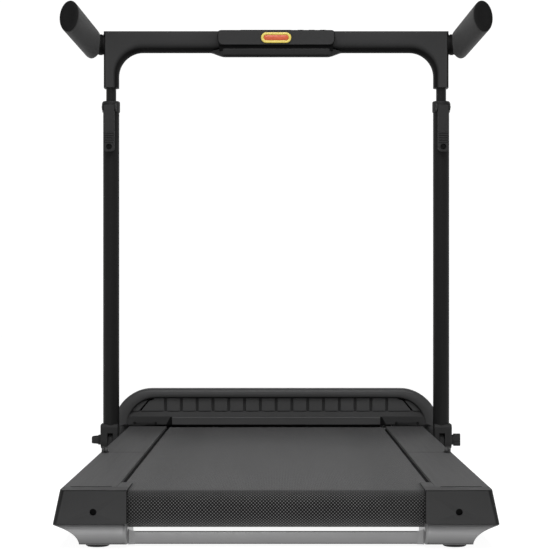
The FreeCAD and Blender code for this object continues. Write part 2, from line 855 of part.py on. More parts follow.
def build_motor():
    """Motor can, rotor with flywheel and pulley, mounting bracket and controller box."""
    can = motor_rod("motor_start", "motor_radius", "motor_long")
    chamber = motor_rod("motor_start + motor_wall", "motor_chamber_radius",
                        "motor_long - 2 * motor_wall")
    bore = motor_rod("motor_start - 1", "shaft_radius + shaft_gap", "motor_long + 2")
    node(cut(can, chamber, bore), "motor_body")

    plate = box("-beam_inner", "motor_line - bracket_deep / 2", "bracket_bottom", "2 * beam_inner",
                "bracket_deep", "bracket_thick")
    saddle_starts = ("motor_start + saddle_inset",
                     "motor_start + motor_long - saddle_inset - saddle_wide")
    saddles = [box(start, "motor_line - saddle_deep / 2", "bracket_bottom + bracket_thick",
                   "saddle_wide", "saddle_deep", "saddle_high") for start in saddle_starts]
    seat = motor_rod("motor_start", "motor_radius", "motor_long")
    node(fuse(plate, cut(fuse(*saddles), seat)), "motor_bracket")

    shaft = motor_rod("motor_start + 1", "shaft_radius", "pulley_inner + pulley_wide - motor_start - 1")
    core = motor_rod("motor_start + core_margin", "core_radius", "motor_long - 2 * core_margin")
    flywheel = motor_rod("flywheel_start", "flywheel_radius", "flywheel_thick")
    pulley = motor_rod("pulley_inner", "motor_pulley_radius", "pulley_wide")
    node(fuse(shaft, core, flywheel, pulley), "motor_rotor")

    node(drive_belt(), "motor_drive_belt")
    node(box("controller_left", "motor_line - controller_back",
             "bracket_bottom + bracket_thick", "controller_wide", "controller_deep",
             "controller_high"), "motor_controller")


def build_front_roller():
    """Driven roller with its pulley, on a fixed axle."""
    drum, bore = roller("front_roller_line")
    sleeve = rod("x", "roller_half_length", "front_roller_line", "roller_height",
                 "pulley_sleeve_radius", "pulley_inner - roller_half_length")
    pulley = rod("x", "pulley_inner", "front_roller_line", "roller_height", "roller_pulley_radius",
                 "pulley_wide")
    node(cut(fuse(drum, sleeve, pulley), bore), "front_roller")
    node(rod("x", "-beam_inner", "front_roller_line", "roller_height", "axle_radius",
             "2 * beam_inner"), "front_roller_axle")


def build_wheels():
    """Transport wheels on stub axles at the nose."""
    beam_side = "beam_inner + beam_wide"
    brackets = []
    for side in SIDES.values():
        plate = side_box(side, beam_side, "wheel_line - wheel_plate_back", "beam_bottom", "wheel_plate_thick",
                         "wheel_plate_long", "wheel_plate_high")
        axle = side_rod(side, beam_side, "wheel_line", "wheel_height", "shaft_radius",
                        f"wheel_inner + wheel_wide + wheel_plate_thick - ({beam_side})")
        brackets.append(fuse(plate, axle))
    node(group(*brackets), "wheel_brackets")
    for name, side in SIDES.items():
        tyre = side_rod(side, "wheel_inner", "wheel_line", "wheel_height", "wheel_radius", "wheel_wide")
        hole = side_rod(side, "wheel_inner - 1", "wheel_line", "wheel_height", "shaft_radius + axle_fit",
                        "wheel_wide + 2")
        node(cut(tyre, hole), f"wheel_{name}")


def build_power_panel():
    """Appliance inlet and rocker switch in the hood's nose."""
    block = box("inlet_left", "front_end - inlet_deep", "inlet_bottom", "inlet_wide", "inlet_deep",
                "inlet_high")
    socket_bottom = "inlet_bottom + socket_lift"
    socket = box("socket_left", "front_end - socket_deep", socket_bottom, "socket_wide",
                 "socket_deep + 1", "socket_high")
    window = box("switch_left", "front_end - switch_deep", "inlet_bottom + switch_lift", "switch_wide",
                 "switch_deep + 1", "switch_high")
    core = box("socket_left + socket_core_margin", "front_end - socket_deep - 1",
               f"{socket_bottom} + socket_lift", "socket_wide - 2 * socket_core_margin",
               "socket_core_deep + 1", "socket_core_high")
    node(fuse(cut(block, socket, window), core), "power_inlet")
    rocker = box("switch_left + rocker_inset", "front_end - rocker_back",
                 "inlet_bottom + switch_lift + rocker_lift", "switch_wide - 2 * rocker_inset", "rocker_thick",
                 "rocker_high")
    rocker.Placement.Rotation = FreeCAD.Rotation(FreeCAD.Vector(1, 0, 0), dims.rocker_tilt)
    pin = rod("x", "switch_left + rocker_pin_play", "front_end - rocker_pin_back", "rocker_pin_height",
              "rocker_pin_radius", "switch_wide - 2 * rocker_pin_play")
    node(fuse(rocker, pin), "power_switch")


# ---------------------------------------------------------------------------------- uprights

def at_post(side, shift="0"):
    return f"post_across + {shift}" if side > 0 else f"-(post_across + {shift})"


def post_rod(side, bottom, top, radius):
    return rod("z", at_post(side), "post_line", bottom, radius, f"{top} - ({bottom})")


def post_shoe(side):
    """Fork that straddles the pivot lug and plugs into the post."""
    face = "post_line - shoe_half_depth"
    block = side_box(side, "shoe_inner", face, "pivot_height", "shoe_wide", "2 * shoe_half_depth",
                     "post_foot - pivot_height")
    toe = side_rod(side, "shoe_inner", "post_line", "pivot_height", "shoe_half_depth", "shoe_wide")
    plug = post_rod(side, "post_foot", "post_foot + shoe_plug_high", "post_radius - post_wall")
    slot = side_box(side, "lug_inner - lug_gap", f"{face} - 1", "pivot_height - shoe_half_depth - 1",
                    "lug_thick + 2 * lug_gap", "2 * shoe_half_depth + 2",
                    "shoe_half_depth + lug_half_depth + 2")
    hole = side_rod(side, "shoe_inner - 1", "post_line", "pivot_height", "pivot_hole_radius",
                    "shoe_wide + 2")
    return cut(fuse(block, toe, plug), slot, hole)


def lever_block(side, half_width, back, bottom, deep, high):
    """Block centred on a clamp lever and measured back from the post's line."""
    centre = "post_across + lever_shift"
    return side_box(side, f"{centre} - ({half_width})", f"post_line - ({back})", bottom,
                    f"2 * ({half_width})", deep, high)


def lever_rod(side, half_width, radius):
    centre = "post_across + lever_shift"
    return side_rod(side, f"{centre} - ({half_width})", "post_line - lever_pin_back",
                    "lever_pin_height", radius, f"2 * ({half_width})")


def clamp(side):
    """Collar on the post's head with two ears, the lever's pin and the rod's bushing."""
    ring = post_rod(side, "collar_bottom", "collar_top", "collar_radius")
    ear_side = "lever_half_width + clamp_ear_gap + clamp_ear_thick"
    ears = lever_block(side, ear_side, "lever_pin_back + clamp_ear_back", "collar_bottom + 2",
                       "clamp_ear_deep", "clamp_ear_high")
    gap = lever_block(side, "lever_half_width + clamp_ear_gap", "lever_pin_back + clamp_ear_back + 1",
                      "collar_bottom - 1", "lever_pin_back + clamp_ear_back + 1 - collar_radius",
                      "2 * clamp_ear_high + 2")
    post_seat = post_rod(side, "collar_bottom - 1", "post_head", "post_radius")
    rod_hole = post_rod(side, "collar_bottom - 1", "collar_top + 1", "rod_radius + axle_fit")
    pin_hole = lever_rod(side, f"{ear_side} + 1", "lever_pin_radius")
    collar = cut(fuse(ring, ears), gap, post_seat, rod_hole, pin_hole)
    bushing = cut(post_rod(side, "bushing_bottom", "post_head", "post_radius - post_wall"),
                  post_rod(side, "bushing_bottom - 1", "post_head + 1", "rod_radius + axle_fit"))
    pin = lever_rod(side, ear_side, "lever_pin_radius")
    return [collar, bushing, pin]


def lever(side):
    blade = lever_block(side, "lever_half_width", "lever_pin_back + lever_head_radius - lever_blade_inset",
                        "lever_foot", "lever_thick", "lever_pin_height - lever_foot")
    head = lever_rod(side, "lever_half_width", "lever_head_radius")
    hole = lever_rod(side, "lever_half_width + 1", "lever_pin_radius + axle_fit")
    return cut(fuse(blade, head), hole)


def pivot_knob(side):
    """Clamping knob with its pivot bolt; the wings stand square to each other on the two sides."""
    hub = side_rod(side, "knob_inner", "post_line", "pivot_height", "knob_hub_radius", "knob_hub_long")
    deep, high = "knob_wing_long", "knob_wing_short"
    if side > 0:
        deep, high = high, deep
    wing = side_box(side, "knob_inner + knob_hub_long - 1", f"post_line - {deep} / 2",
                    f"pivot_height - {high} / 2", "knob_wing_thick", deep, high)
    bore = side_rod(side, "knob_inner - 1", "post_line", "pivot_height", "pivot_bolt_radius",
                    "knob_bolt_depth + 1")
    bolt = side_rod(side, "shoe_inner + 1", "post_line", "pivot_height", "pivot_bolt_radius",
                    "knob_inner + knob_bolt_depth - (shoe_inner + 1)")
    return group(cut(fuse(hub, wing), bore), bolt)


def build_uprights():
    for name, side in SIDES.items():
        tube = cut(post_rod(side, "post_foot", "post_head", "post_radius"),
                   post_rod(side, "post_foot - 1", "post_head + 1", "post_radius - post_wall"))
        node(tube, f"post_{name}")
    node(group(*[post_shoe(side) for side in SIDES.values()]), "post_shoes")
    node(group(*[piece for side in SIDES.values() for piece in clamp(side)]), "post_clamps")
    for name, side in SIDES.items():
        node(lever(side), f"lever_{name}")
    for name, side in SIDES.items():
        node(pivot_knob(side), f"knob_{name}")


# ---------------------------------------------------------------------------------- handlebar

def handlebar_frame():
    """Crossbar and its two corner legs, with sockets for the rods and a stub for each grip."""
    arch = extrusion("y", [
        ("-leg_outer", "leg_foot"),
        ("-leg_inner", "leg_foot"),
        ("-leg_inner", "bar_under"),
        ("leg_inner", "bar_under"),
        ("leg_inner", "leg_foot"),
        ("leg_outer", "leg_foot"),
        ("leg_outer", "bar_over"),
        ("-leg_outer", "bar_over"),
    ], "post_line - bar_half_depth", "2 * bar_half_depth")
    inner = SIZES["leg_inner"]
    round_edges(arch, "corner_radius",
                lambda edge: runs_along(edge, "y") and edge.CenterOfMass.z > 800
                and abs(edge.CenterOfMass.x) < inner + 1)
    stubs = [side_rod(side, "leg_outer - stub_root", "post_line", "grip_height", "stub_radius",
                      "stub_end - leg_outer + stub_root") for side in SIDES.values()]
    sockets = [post_rod(side, "leg_foot - 1", "rod_head", "rod_radius") for side in SIDES.values()]
    return cut(fuse(arch, *stubs), *sockets)


def grip(side):
    """Horn-shaped grip that turns on its stub and reaches back toward the walker."""
    corners = [
        ("-grip_wide / 2", "-grip_high / 2"),
        ("grip_wide / 2", "-grip_high / 2"),
        ("grip_wide / 2", "grip_high / 2"),
        ("-grip_wide / 2", "grip_high / 2"),
    ]
    horn = extrusion("y", corners, "0", "grip_long + grip_heel")
    round_edges(horn, "grip_edge_radius", lambda edge: runs_along(edge, "y"))
    backward = FreeCAD.Rotation(FreeCAD.Vector(0, 0, 1), 180 + side * dims.grip_splay)
    upward = FreeCAD.Rotation(FreeCAD.Vector(1, 0, 0), dims.grip_lift)
    horn.Placement = FreeCAD.Placement(FreeCAD.Vector(), backward.multiply(upward))
    heel_across = "grip_root - grip_heel * sin(grip_splay) * cos(grip_lift)"
    put(horn, heel_across if side > 0 else f"-({heel_across})",
        "post_line + grip_heel * cos(grip_splay) * cos(grip_lift)",
        "grip_height - grip_heel * sin(grip_lift)")
    hub = side_rod(side, "stub_end + grip_gap", "post_line", "grip_height", "grip_hub_radius",
                   "grip_hub_long")
    relief = side_rod(side, "leg_outer - 1", "post_line", "grip_height", "stub_radius + grip_relief",
                      "stub_end + grip_gap - (leg_outer - 1)")
    return cut(fuse(horn, hub), relief)


def on_slope(thing, across, margin, sunk):
    """Lay a piece on the console's sloping top: a margin up from the near edge and sunk below it."""
    thing.Placement.Rotation = FreeCAD.Rotation(FreeCAD.Vector(1, 0, 0), dims.console_tilt)
    put(thing, across,
        f"post_line - console_back + {margin} * cos(console_tilt) + {sunk} * sin(console_tilt)",
        f"console_near_top + {margin} * sin(console_tilt) - {sunk} * cos(console_tilt)")
    return thing


def button(step, radius, sunk, high):
    """Round button, or the well that it sits in."""
    post = rod("z", "0", "0", "0", radius, high)
    return on_slope(post, f"button_first + {step} * button_pitch", "button_margin", sunk)


def display(sunk, thick):
    """Display window, or the recess that it sits in."""
    pane = box("0", "0", "0", "window_wide", "window_long", thick)
    return on_slope(pane, "window_left", "window_margin", sunk)


def console_belly():
    """Fairing under the crossbar: it rises toward the front and tapers out to both sides."""
    fairing = extrusion("x", [
        ("post_line - console_back + belly_step", "bar_under"),
        ("post_line - console_back + belly_near", "belly_low"),
        ("post_line + bar_half_depth", "belly_low + belly_rise"),
        ("post_line + bar_half_depth", "bar_under"),
    ], "-belly_half", "2 * belly_half")
    tapers = []
    for side in SIDES.values():
        corners = [
            ("belly_foot_half", "belly_low"),
            ("belly_half", "belly_low"),
            ("belly_half", "bar_under"),
        ]
        tapers.append(extrusion("y", mirrored(side, corners), "post_line - console_back",
                                "console_back + bar_half_depth + 1"))
    return cut(fairing, *tapers)


def console_housing():
    back = "post_line - console_back"
    front = "post_line + bar_half_depth"
    deep = "console_back + bar_half_depth"
    cover = extrusion("x", [
        (back, "console_lip"),
        ("post_line - bar_half_depth", "console_lip"),
        ("post_line - bar_half_depth", "bar_over"),
        (front, "bar_over"),
        (front, f"console_near_top + ({deep}) * tan(console_tilt)"),
        (back, "console_near_top"),
    ], "-console_half", "2 * console_half")
    neck = box("-console_half", f"{back} + belly_step", "bar_under", "2 * console_half",
               "console_back - bar_half_depth - belly_step", "console_lip - bar_under")
    wells = [button(step, "button_radius + button_gap", "button_well", "2 * button_well")
             for step in range(len(BUTTONS))]
    recess = display("window_sunk", "2 * window_thick")
    key_slot = box("-plug_half_width - plug_gap", f"{back} - 1", "plug_bottom - plug_gap",
                   "2 * (plug_half_width + plug_gap)", "plug_long + 2", "plug_high + 2 * plug_gap")
    return cut(fuse(cover, neck, console_belly()), *wells, recess, key_slot)


def safety_key():
    back = "post_line - console_back"
    plate = extrusion("y", [
        ("-key_half_width", "key_bottom"),
        ("key_half_width", "key_bottom"),
        ("key_half_width", "key_bottom + key_high"),
        ("-key_half_width", "key_bottom + key_high"),
    ], f"{back} - key_thick", "key_thick")
    round_edges(plate, "key_high / 2 - 0.2", lambda edge: runs_along(edge, "y"))
    plug = box("-plug_half_width", back, "plug_bottom", "2 * plug_half_width", "plug_long", "plug_high")
    return fuse(plate, plug)


BUTTONS = ("button_slower", "button_start", "button_faster")


def build_handlebar():
    rods = [cut(post_rod(side, "rod_foot", "rod_head", "rod_radius"),
                post_rod(side, "rod_foot - 1", "rod_head + 1", "rod_bore")) for side in SIDES.values()]
    node(group(*rods), "inner_rods")
    node(handlebar_frame(), "handlebar_frame")
    node(console_housing(), "console_housing")
    node(display("window_sunk", "window_thick"), "display_window")
    for name, side in SIDES.items():
        node(grip(side), f"grip_{name}")
    node(safety_key(), "safety_key")
    for step, name in enumerate(BUTTONS):
        node(button(step, "button_radius", "button_sunk", "button_high"), name)


build_chassis()
build_hood()
build_motor()
build_front_roller()
build_wheels()
build_power_panel()
build_rear_deck()
build_uprights()
build_handlebar()
doc.recompute()

for thing in doc.Objects:
    if "Invalid" in thing.State or "Error" in thing.State:
        raise RuntimeError(f"{thing.Name} failed: {thing.State}")
for part in NODES:
    if part.Shape.isNull() or not part.Shape.isValid():
        raise RuntimeError(f"{part.Label} has no valid shape")

os.makedirs("parts", exist_ok=True)
for part in NODES:
    part.Shape.exportStep(f"parts/{part.Label}.step")
print(len(NODES), "sub-parts written")
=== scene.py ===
import math

import bmesh
import bpy
from mathutils import Matrix, Vector
from mathutils.geometry import interpolate_bezier


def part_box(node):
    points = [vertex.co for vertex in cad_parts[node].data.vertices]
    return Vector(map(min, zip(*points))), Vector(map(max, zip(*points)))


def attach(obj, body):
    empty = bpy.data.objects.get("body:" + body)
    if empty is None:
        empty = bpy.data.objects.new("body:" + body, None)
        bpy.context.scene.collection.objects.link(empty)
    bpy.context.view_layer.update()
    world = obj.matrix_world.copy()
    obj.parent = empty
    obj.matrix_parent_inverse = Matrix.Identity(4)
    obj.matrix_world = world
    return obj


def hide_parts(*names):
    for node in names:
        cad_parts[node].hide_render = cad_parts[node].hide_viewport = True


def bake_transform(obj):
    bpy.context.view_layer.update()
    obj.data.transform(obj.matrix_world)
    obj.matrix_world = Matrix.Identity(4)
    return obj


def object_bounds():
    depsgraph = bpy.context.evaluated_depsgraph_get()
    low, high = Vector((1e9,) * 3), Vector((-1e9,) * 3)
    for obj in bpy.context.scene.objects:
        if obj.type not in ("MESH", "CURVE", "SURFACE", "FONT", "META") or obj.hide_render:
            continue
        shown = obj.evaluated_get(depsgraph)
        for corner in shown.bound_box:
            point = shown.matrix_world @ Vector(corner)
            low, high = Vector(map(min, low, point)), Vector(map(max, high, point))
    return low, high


# Looks for the folding treadmill.  Metres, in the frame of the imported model: X across the deck,
# +Y from the rear end to the motor hood, +Z up.

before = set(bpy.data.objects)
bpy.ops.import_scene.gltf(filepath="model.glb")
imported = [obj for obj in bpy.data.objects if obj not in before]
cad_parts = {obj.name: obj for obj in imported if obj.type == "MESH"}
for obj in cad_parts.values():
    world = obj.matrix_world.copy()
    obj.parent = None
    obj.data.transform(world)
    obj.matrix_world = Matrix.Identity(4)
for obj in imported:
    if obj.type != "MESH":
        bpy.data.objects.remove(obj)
cad_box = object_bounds()


# ---- materials

MATERIALS = {}
WHITE = (1, 1, 1, 1)


class Nodes:
    """Short way to lay out the nodes of a material or of the world."""

    def __init__(self, owner):
        owner.use_nodes = True
        self.tree = owner.node_tree

    def add(self, kind, inputs=None, **settings):
        node = self.tree.nodes.new(kind)
        for key, value in settings.items():
            setattr(node, key, value)
        for key, value in (inputs or {}).items():
            self.feed(node.inputs[key], value)
        return node

    def feed(self, socket, value):
        if isinstance(value, bpy.types.NodeSocket):
            self.tree.links.new(value, socket)
        else:
            socket.default_value = value

    def place(self, stretch=(1, 1, 1)):
        """The piece's own coordinates, stretched."""
        where = self.add("ShaderNodeTexCoord").outputs["Object"]
        return self.add("ShaderNodeMapping", {"Vector": where, "Scale": stretch}).outputs[0]

    def noise(self, scale, detail=3, roughness=0.5, stretch=(1, 1, 1)):
        inputs = {"Vector": self.place(stretch), "Scale": scale, "Detail": detail, "Roughness": roughness}
        return self.add("ShaderNodeTexNoise", inputs).outputs["Fac"]

    def cells(self, scale):
        inputs = {"Vector": self.place(), "Scale": scale}
        return self.add("ShaderNodeTexVoronoi", inputs, feature="SMOOTH_F1").outputs["Distance"]

    def part(self, axis, vector):
        return self.add("ShaderNodeSeparateXYZ", {"Vector": vector}).outputs[axis]

    def facing(self, axis):
        """How far the surface faces along one of the piece's own axes."""
        return self.part(axis, self.add("ShaderNodeTexCoord").outputs["Normal"])

    def math(self, operation, first, second=0.0):
        node = self.add("ShaderNodeMath", operation=operation)
        self.feed(node.inputs[0], first)
        self.feed(node.inputs[1], second)
        return node.outputs[0]

    def span(self, value, low, high, start=0.0, end=1.0):
        """Map a value from low..high to start..end."""
        inputs = {"Value": value, "From Min": low, "From Max": high, "To Min": start, "To Max": end}
        return self.add("ShaderNodeMapRange", inputs).outputs[0]

    def mix(self, factor, first, second):
        inputs = {"Factor": factor, "A": first, "B": second}
        return self.add("ShaderNodeMix", inputs, data_type="RGBA").outputs["Result"]

    def grey(self, tone, *factors):
        """Grey colour from a tone and the factors that vary it."""
        for factor in factors:
            tone = self.math("MULTIPLY", tone, factor)
        return self.add("ShaderNodeCombineColor", {"Red": tone, "Green": tone, "Blue": tone}).outputs[0]

    def bump(self, height, distance, strength, under=None):
        node = self.add("ShaderNodeBump", {"Height": height, "Distance": distance, "Strength": strength})
        if under is not None:
            self.feed(node.inputs["Normal"], under)
        return node.outputs["Normal"]


class Finish(Nodes):
    """One material, kept in MATERIALS under its name."""

    SOCKETS = {"colour": "Base Color", "rough": "Roughness", "normal": "Normal", "metal": "Metallic",
               "specular": "Specular IOR Level", "coat": "Coat Weight", "coat_rough": "Coat Roughness",
               "sheen": "Sheen Weight", "glow": "Emission Strength", "glow_colour": "Emission Color"}

    def __init__(self, name):
        MATERIALS[name] = bpy.data.materials.new(name)
        super().__init__(MATERIALS[name])

    def set(self, **values):
        shader = self.tree.nodes["Principled BSDF"]
        for key, value in values.items():
            self.feed(shader.inputs[self.SOCKETS[key]], value)


def shade(value, blue=1.0):
    """Grey, with its blue part raised a little on request."""
    return (value, value, value * blue, 1.0)


def rubbed_edges(nodes, colour, pale):
    """Lighten the outer edges a little, as handling does."""
    edge = nodes.add("ShaderNodeNewGeometry").outputs["Pointiness"]
    return nodes.mix(nodes.span(edge, 0.52, 0.6, 0.0, 0.3), colour, pale)


def painted_underside_shade(nodes, colour, deep):
    """Painted shade: what faces down darkens towards the deep colour, while what faces up or stands upright
    keeps its own colour.
    """
    return nodes.mix(nodes.span(nodes.facing("Z"), -0.6, 0.1), deep, colour)


def painted_rim_shade(nodes, colour, deep):
    """Painted shade: rounded rims and undersides darken towards the deep colour, while broad flats facing
    along Y or up keep their own colour.
    """
    flat = nodes.math("MAXIMUM", nodes.math("ABSOLUTE", nodes.facing("Y")), nodes.facing("Z"))
    return nodes.mix(nodes.span(flat, 0.84, 0.985), deep, colour)


def moulded(name, tone, rough=0.5, specular=0.22, painted_shade=painted_underside_shade, deep=0.3):
    """Moulded plastic: fine leather grain, faint cloudiness, paler edges and painted shade on its undersides
    (and on its rounded rims where asked).
    """
    nodes = Finish(name)
    colour = nodes.mix(nodes.noise(9, 4), shade(tone * 0.86), shade(tone * 1.14, 1.02))
    colour = rubbed_edges(nodes, colour, shade(tone * 2.2))
    # Painted shade: the chosen mask darkens undersides and rounded rims towards tone times deep.
    colour = painted_shade(nodes, colour, shade(tone * deep))
    roughness = nodes.span(nodes.noise(60), 0.2, 0.8, rough - 0.05, rough + 0.06)
    nodes.set(colour=colour, rough=roughness, normal=nodes.bump(nodes.cells(900), 0.00012, 0.6),
              specular=specular)


def rail_finish():
    """Tread strip plastic with a brushed grain along the deck."""
    nodes = Finish("rail_plastic")
    streaks = nodes.noise(520, 6, 0.75, (1.0, 0.035, 1.0))
    broad = nodes.span(nodes.noise(150, 4, 0.6, (1.0, 0.02, 1.0)), 0.3, 0.7, 0.82, 1.18)
    cloud = nodes.span(nodes.noise(5, 4), 0.25, 0.75, 0.93, 1.07)
    fine = nodes.bump(nodes.noise(1400, 2), 0.0001, 0.4)
    nodes.set(colour=nodes.grey(nodes.span(streaks, 0.32, 0.68, 0.022, 0.06), broad, cloud),
              rough=nodes.span(streaks, 0.3, 0.7, 0.5, 0.64),
              normal=nodes.bump(streaks, 0.00018, 0.5, fine), specular=0.25, sheen=0.05)


def belt_finish():
    """Walking belt: crossed diagonal cords with pale knots, pressed into matt rubber."""
    nodes = Finish("belt_rubber")
    cord_period = 0.0047
    where = nodes.add("ShaderNodeUVMap", uv_map="belt").outputs["UV"]
    across, along = nodes.part("X", where), nodes.part("Y", where)
    cords = []
    for operation in ("ADD", "SUBTRACT"):
        diagonal = nodes.math(operation, across, along)
        cords.append(nodes.math("SINE", nodes.math("MULTIPLY", diagonal, 2 * math.pi / cord_period)))
    knots = nodes.math("ADD", *cords)
    scuff = nodes.span(nodes.noise(26, 5, 0.65, (1.0, 0.12, 1.0)), 0.25, 0.75, 0.9, 1.12)
    cloud = nodes.span(nodes.noise(3.2, 4), 0.25, 0.75, 0.93, 1.07)
    pores = nodes.bump(nodes.noise(2200, 2), 0.00008, 0.35)
    nodes.set(colour=nodes.grey(nodes.span(knots, 0.0, 1.6, 0.0025, 0.115), scuff, cloud),
              rough=nodes.span(knots, -1.0, 1.6, 0.58, 0.42),
              normal=nodes.bump(nodes.math("MAXIMUM", *cords), 0.00035, 0.5, pores),
              specular=0.06, sheen=0.16)


def silver_finish():
    """Satin silver paint on a casting: fine metal flake under a soft clear coat, with painted shade on faces
    that turn down.
    """
    nodes = Finish("silver_cast")
    colour = nodes.mix(nodes.noise(14, 4), shade(0.21), shade(0.25, 1.01))
    # Painted shade: faces of the casting that turn down darken to near black.
    nodes.set(colour=painted_underside_shade(nodes, colour, shade(0.05)),
              rough=nodes.span(nodes.noise(70), 0.25, 0.75, 0.3, 0.4),
              normal=nodes.bump(nodes.noise(2600, 2), 0.00005, 0.35), metal=0.7, coat=0.15, coat_rough=0.25)


def turned_steel(name, tone, rough):
    """Turned or plated steel with fine lines round its length."""
    nodes = Finish(name)
    lines = nodes.noise(2400, stretch=(1.0, 0.06, 0.06))
    nodes.set(colour=nodes.mix(nodes.noise(40, 4), shade(tone * 0.9), shade(tone * 1.05)),
              rough=nodes.span(lines, 0.3, 0.7, rough - 0.05, rough + 0.08),
              normal=nodes.bump(lines, 0.00006, 0.5), metal=1.0)


def powder_coat(name, tone, rough, specular=0.35):
    """Powder coat: orange-peel ripple over steel."""
    nodes = Finish(name)
    colour = nodes.mix(nodes.noise(12, 4), shade(tone * 0.9), shade(tone * 1.1))
    nodes.set(colour=rubbed_edges(nodes, colour, shade(tone * 2.5)),
              rough=nodes.span(nodes.noise(90), 0.25, 0.75, rough - 0.04, rough + 0.05),
              normal=nodes.bump(nodes.noise(420, 2), 0.00012, 0.4), specular=specular)


def foam_finish():
    """Closed-cell grip foam with fine pores."""
    nodes = Finish("grip_foam")
    pores = nodes.cells(1500)
    skin = nodes.bump(nodes.noise(500, 4), 0.0002, 0.4)
    nodes.set(colour=nodes.mix(nodes.noise(22, 4), shade(0.015), shade(0.02)),
              rough=nodes.span(pores, 0.0, 0.8, 0.62, 0.82),
              normal=nodes.bump(pores, 0.00016, 0.7, skin), specular=0.2, sheen=0.1)


def rubber_finish(name, tone, rough=0.72):
    """Matt rubber with a little dust in its pores."""
    nodes = Finish(name)
    dust = nodes.noise(45, 5, 0.6)
    nodes.set(colour=nodes.mix(nodes.span(dust, 0.35, 0.75), shade(tone), shade(tone * 1.7)),
              rough=nodes.span(dust, 0.3, 0.7, rough - 0.08, rough + 0.1),
              normal=nodes.bump(nodes.noise(900), 0.00014, 0.5), specular=0.35)


def gloss_plastic(name, colour, dark, rough, coat=0.4):
    """Gloss moulding: slight colour drift, fine polishing marks and a clear skin."""
    nodes = Finish(name)
    nodes.set(colour=nodes.mix(nodes.noise(60), dark, colour),
              rough=nodes.span(nodes.noise(160), 0.25, 0.75, rough - 0.05, rough + 0.08),
              normal=nodes.bump(nodes.noise(700, 2), 0.00003, 0.3), coat=coat, coat_rough=0.12)


def board_finish():
    """Fibreboard: black waxed film on the faces, brown fibre on the cut edges."""
    nodes = Finish("deck_wood")
    grain = nodes.noise(12, 6, 0.6, (8.0, 0.6, 30.0))
    specks = nodes.noise(420)
    fibre = nodes.mix(grain, (0.05, 0.036, 0.025, 1), (0.1, 0.07, 0.048, 1))
    film = nodes.mix(specks, shade(0.006), shade(0.012))
    upward = nodes.part("Z", nodes.add("ShaderNodeNewGeometry").outputs["Normal"])
    on_face = nodes.span(nodes.math("ABSOLUTE", upward), 0.5, 0.7)
    nodes.set(colour=nodes.mix(on_face, fibre, film), rough=nodes.span(specks, 0.3, 0.7, 0.75, 0.9),
              normal=nodes.bump(specks, 0.0002, 0.4), specular=0.05)


def hollow_finish():
    """Unlit depth of a bolt hole or a slot."""
    nodes = Finish("hole_dark")
    nodes.set(colour=nodes.mix(nodes.noise(200, 2), shade(0.002), shade(0.006)), rough=0.9, specular=0.1)


def floor_finish():
    """Pale studio floor, lit a little from within so that it matches the pale surroundings."""
    nodes = Finish("floor_pale")
    nodes.set(colour=nodes.mix(nodes.noise(2.0, 4), shade(0.36), shade(0.4)), rough=0.9, specular=0.1,
              glow=0.92, glow_colour=WHITE)


moulded("black_plastic", 0.018, specular=0.15)
# The cap and handle plastics below take painted shade on their rounded rims and undersides.
moulded("cap_plastic", 0.028, rough=0.52, specular=0.15, painted_shade=painted_rim_shade)
moulded("hood_plastic", 0.05, rough=0.42, specular=0.2, deep=0.2)
moulded("handle_plastic", 0.027, specular=0.08, painted_shade=painted_rim_shade, deep=0.12)
# A darker copy of the hood plastic for the sill below the vent: painted shade.
moulded("sill_shaded_plastic", 0.032, specular=0.12)
moulded("shadow_plastic", 0.003, rough=0.7, specular=0.05)
moulded("grip_end", 0.006, rough=0.6, specular=0.06)
moulded("button_plastic", 0.16)
moulded("controller_plastic", 0.06, rough=0.55)
turned_steel("bare_steel", 0.55, 0.3)
turned_steel("roller_steel", 0.5, 0.36)
powder_coat("dark_tube", 0.006, 0.28, 0.1)
powder_coat("powder_coat", 0.007, 0.42, 0.08)
powder_coat("frame_steel", 0.03, 0.5)
powder_coat("motor_paint", 0.07, 0.45)
rubber_finish("foot_rubber", 0.014)
rubber_finish("tyre_rubber", 0.02, 0.62)
gloss_plastic("key_yellow", (0.62, 0.5, 0.1, 1), (0.55, 0.43, 0.08, 1), 0.34, 0.1)
gloss_plastic("key_red", (0.5, 0.075, 0.012, 1), (0.4, 0.052, 0.008, 1), 0.4, 0.1)
gloss_plastic("display_gloss", (0.008, 0.008, 0.01, 1), (0.005, 0.005, 0.006, 1), 0.1)
for make_finish in (rail_finish, belt_finish, silver_finish, foam_finish, board_finish, hollow_finish,
                    floor_finish):
    make_finish()


# ---- mesh helpers

AXES = {"x": 0, "y": 1, "z": 2}
SIDES = {"left": -1, "right": 1}


def arc(across, up, radius, start, end, steps):
    """Points round part of a circle, with both its ends."""
    turns = [start + (end - start) * step / steps for step in range(steps + 1)]
    return [(across + radius * math.cos(turn), up + radius * math.sin(turn)) for turn in turns]


def corner_arc(before, corner, after, radius, steps=6):
    """Points of the round that replaces one corner of a flat outline."""
    back = (Vector(before) - Vector(corner)).normalized()
    ahead = (Vector(after) - Vector(corner)).normalized()
    half = back.angle(ahead) / 2
    centre = Vector(corner) + (back + ahead).normalized() * (radius / math.sin(half))
    start = Vector(corner) + back * (radius / math.tan(half)) - centre
    end = Vector(corner) + ahead * (radius / math.tan(half)) - centre
    sweep = start.angle_signed(end)
    return [centre + Matrix.Rotation(-sweep * step / steps, 2) @ start for step in range(steps + 1)]


def rounded(corners, steps=6):
    """Outline from (across, up, radius) corners."""
    points = []
    count = len(corners)
    for index, (across, up, radius) in enumerate(corners):
        if radius <= 0:
            points.append(Vector((across, up)))
            continue
        points += corner_arc(corners[index - 1][:2], (across, up), corners[(index + 1) % count][:2],
                             radius, steps)
    return points


def lift(point, axis, level):
    """Flat outline point to space: outlines are read (Y, Z), (X, Z) or (X, Y) across the axis."""
    values = [point[0], point[1]]
    values.insert(AXES[axis], level)
    return Vector(values)


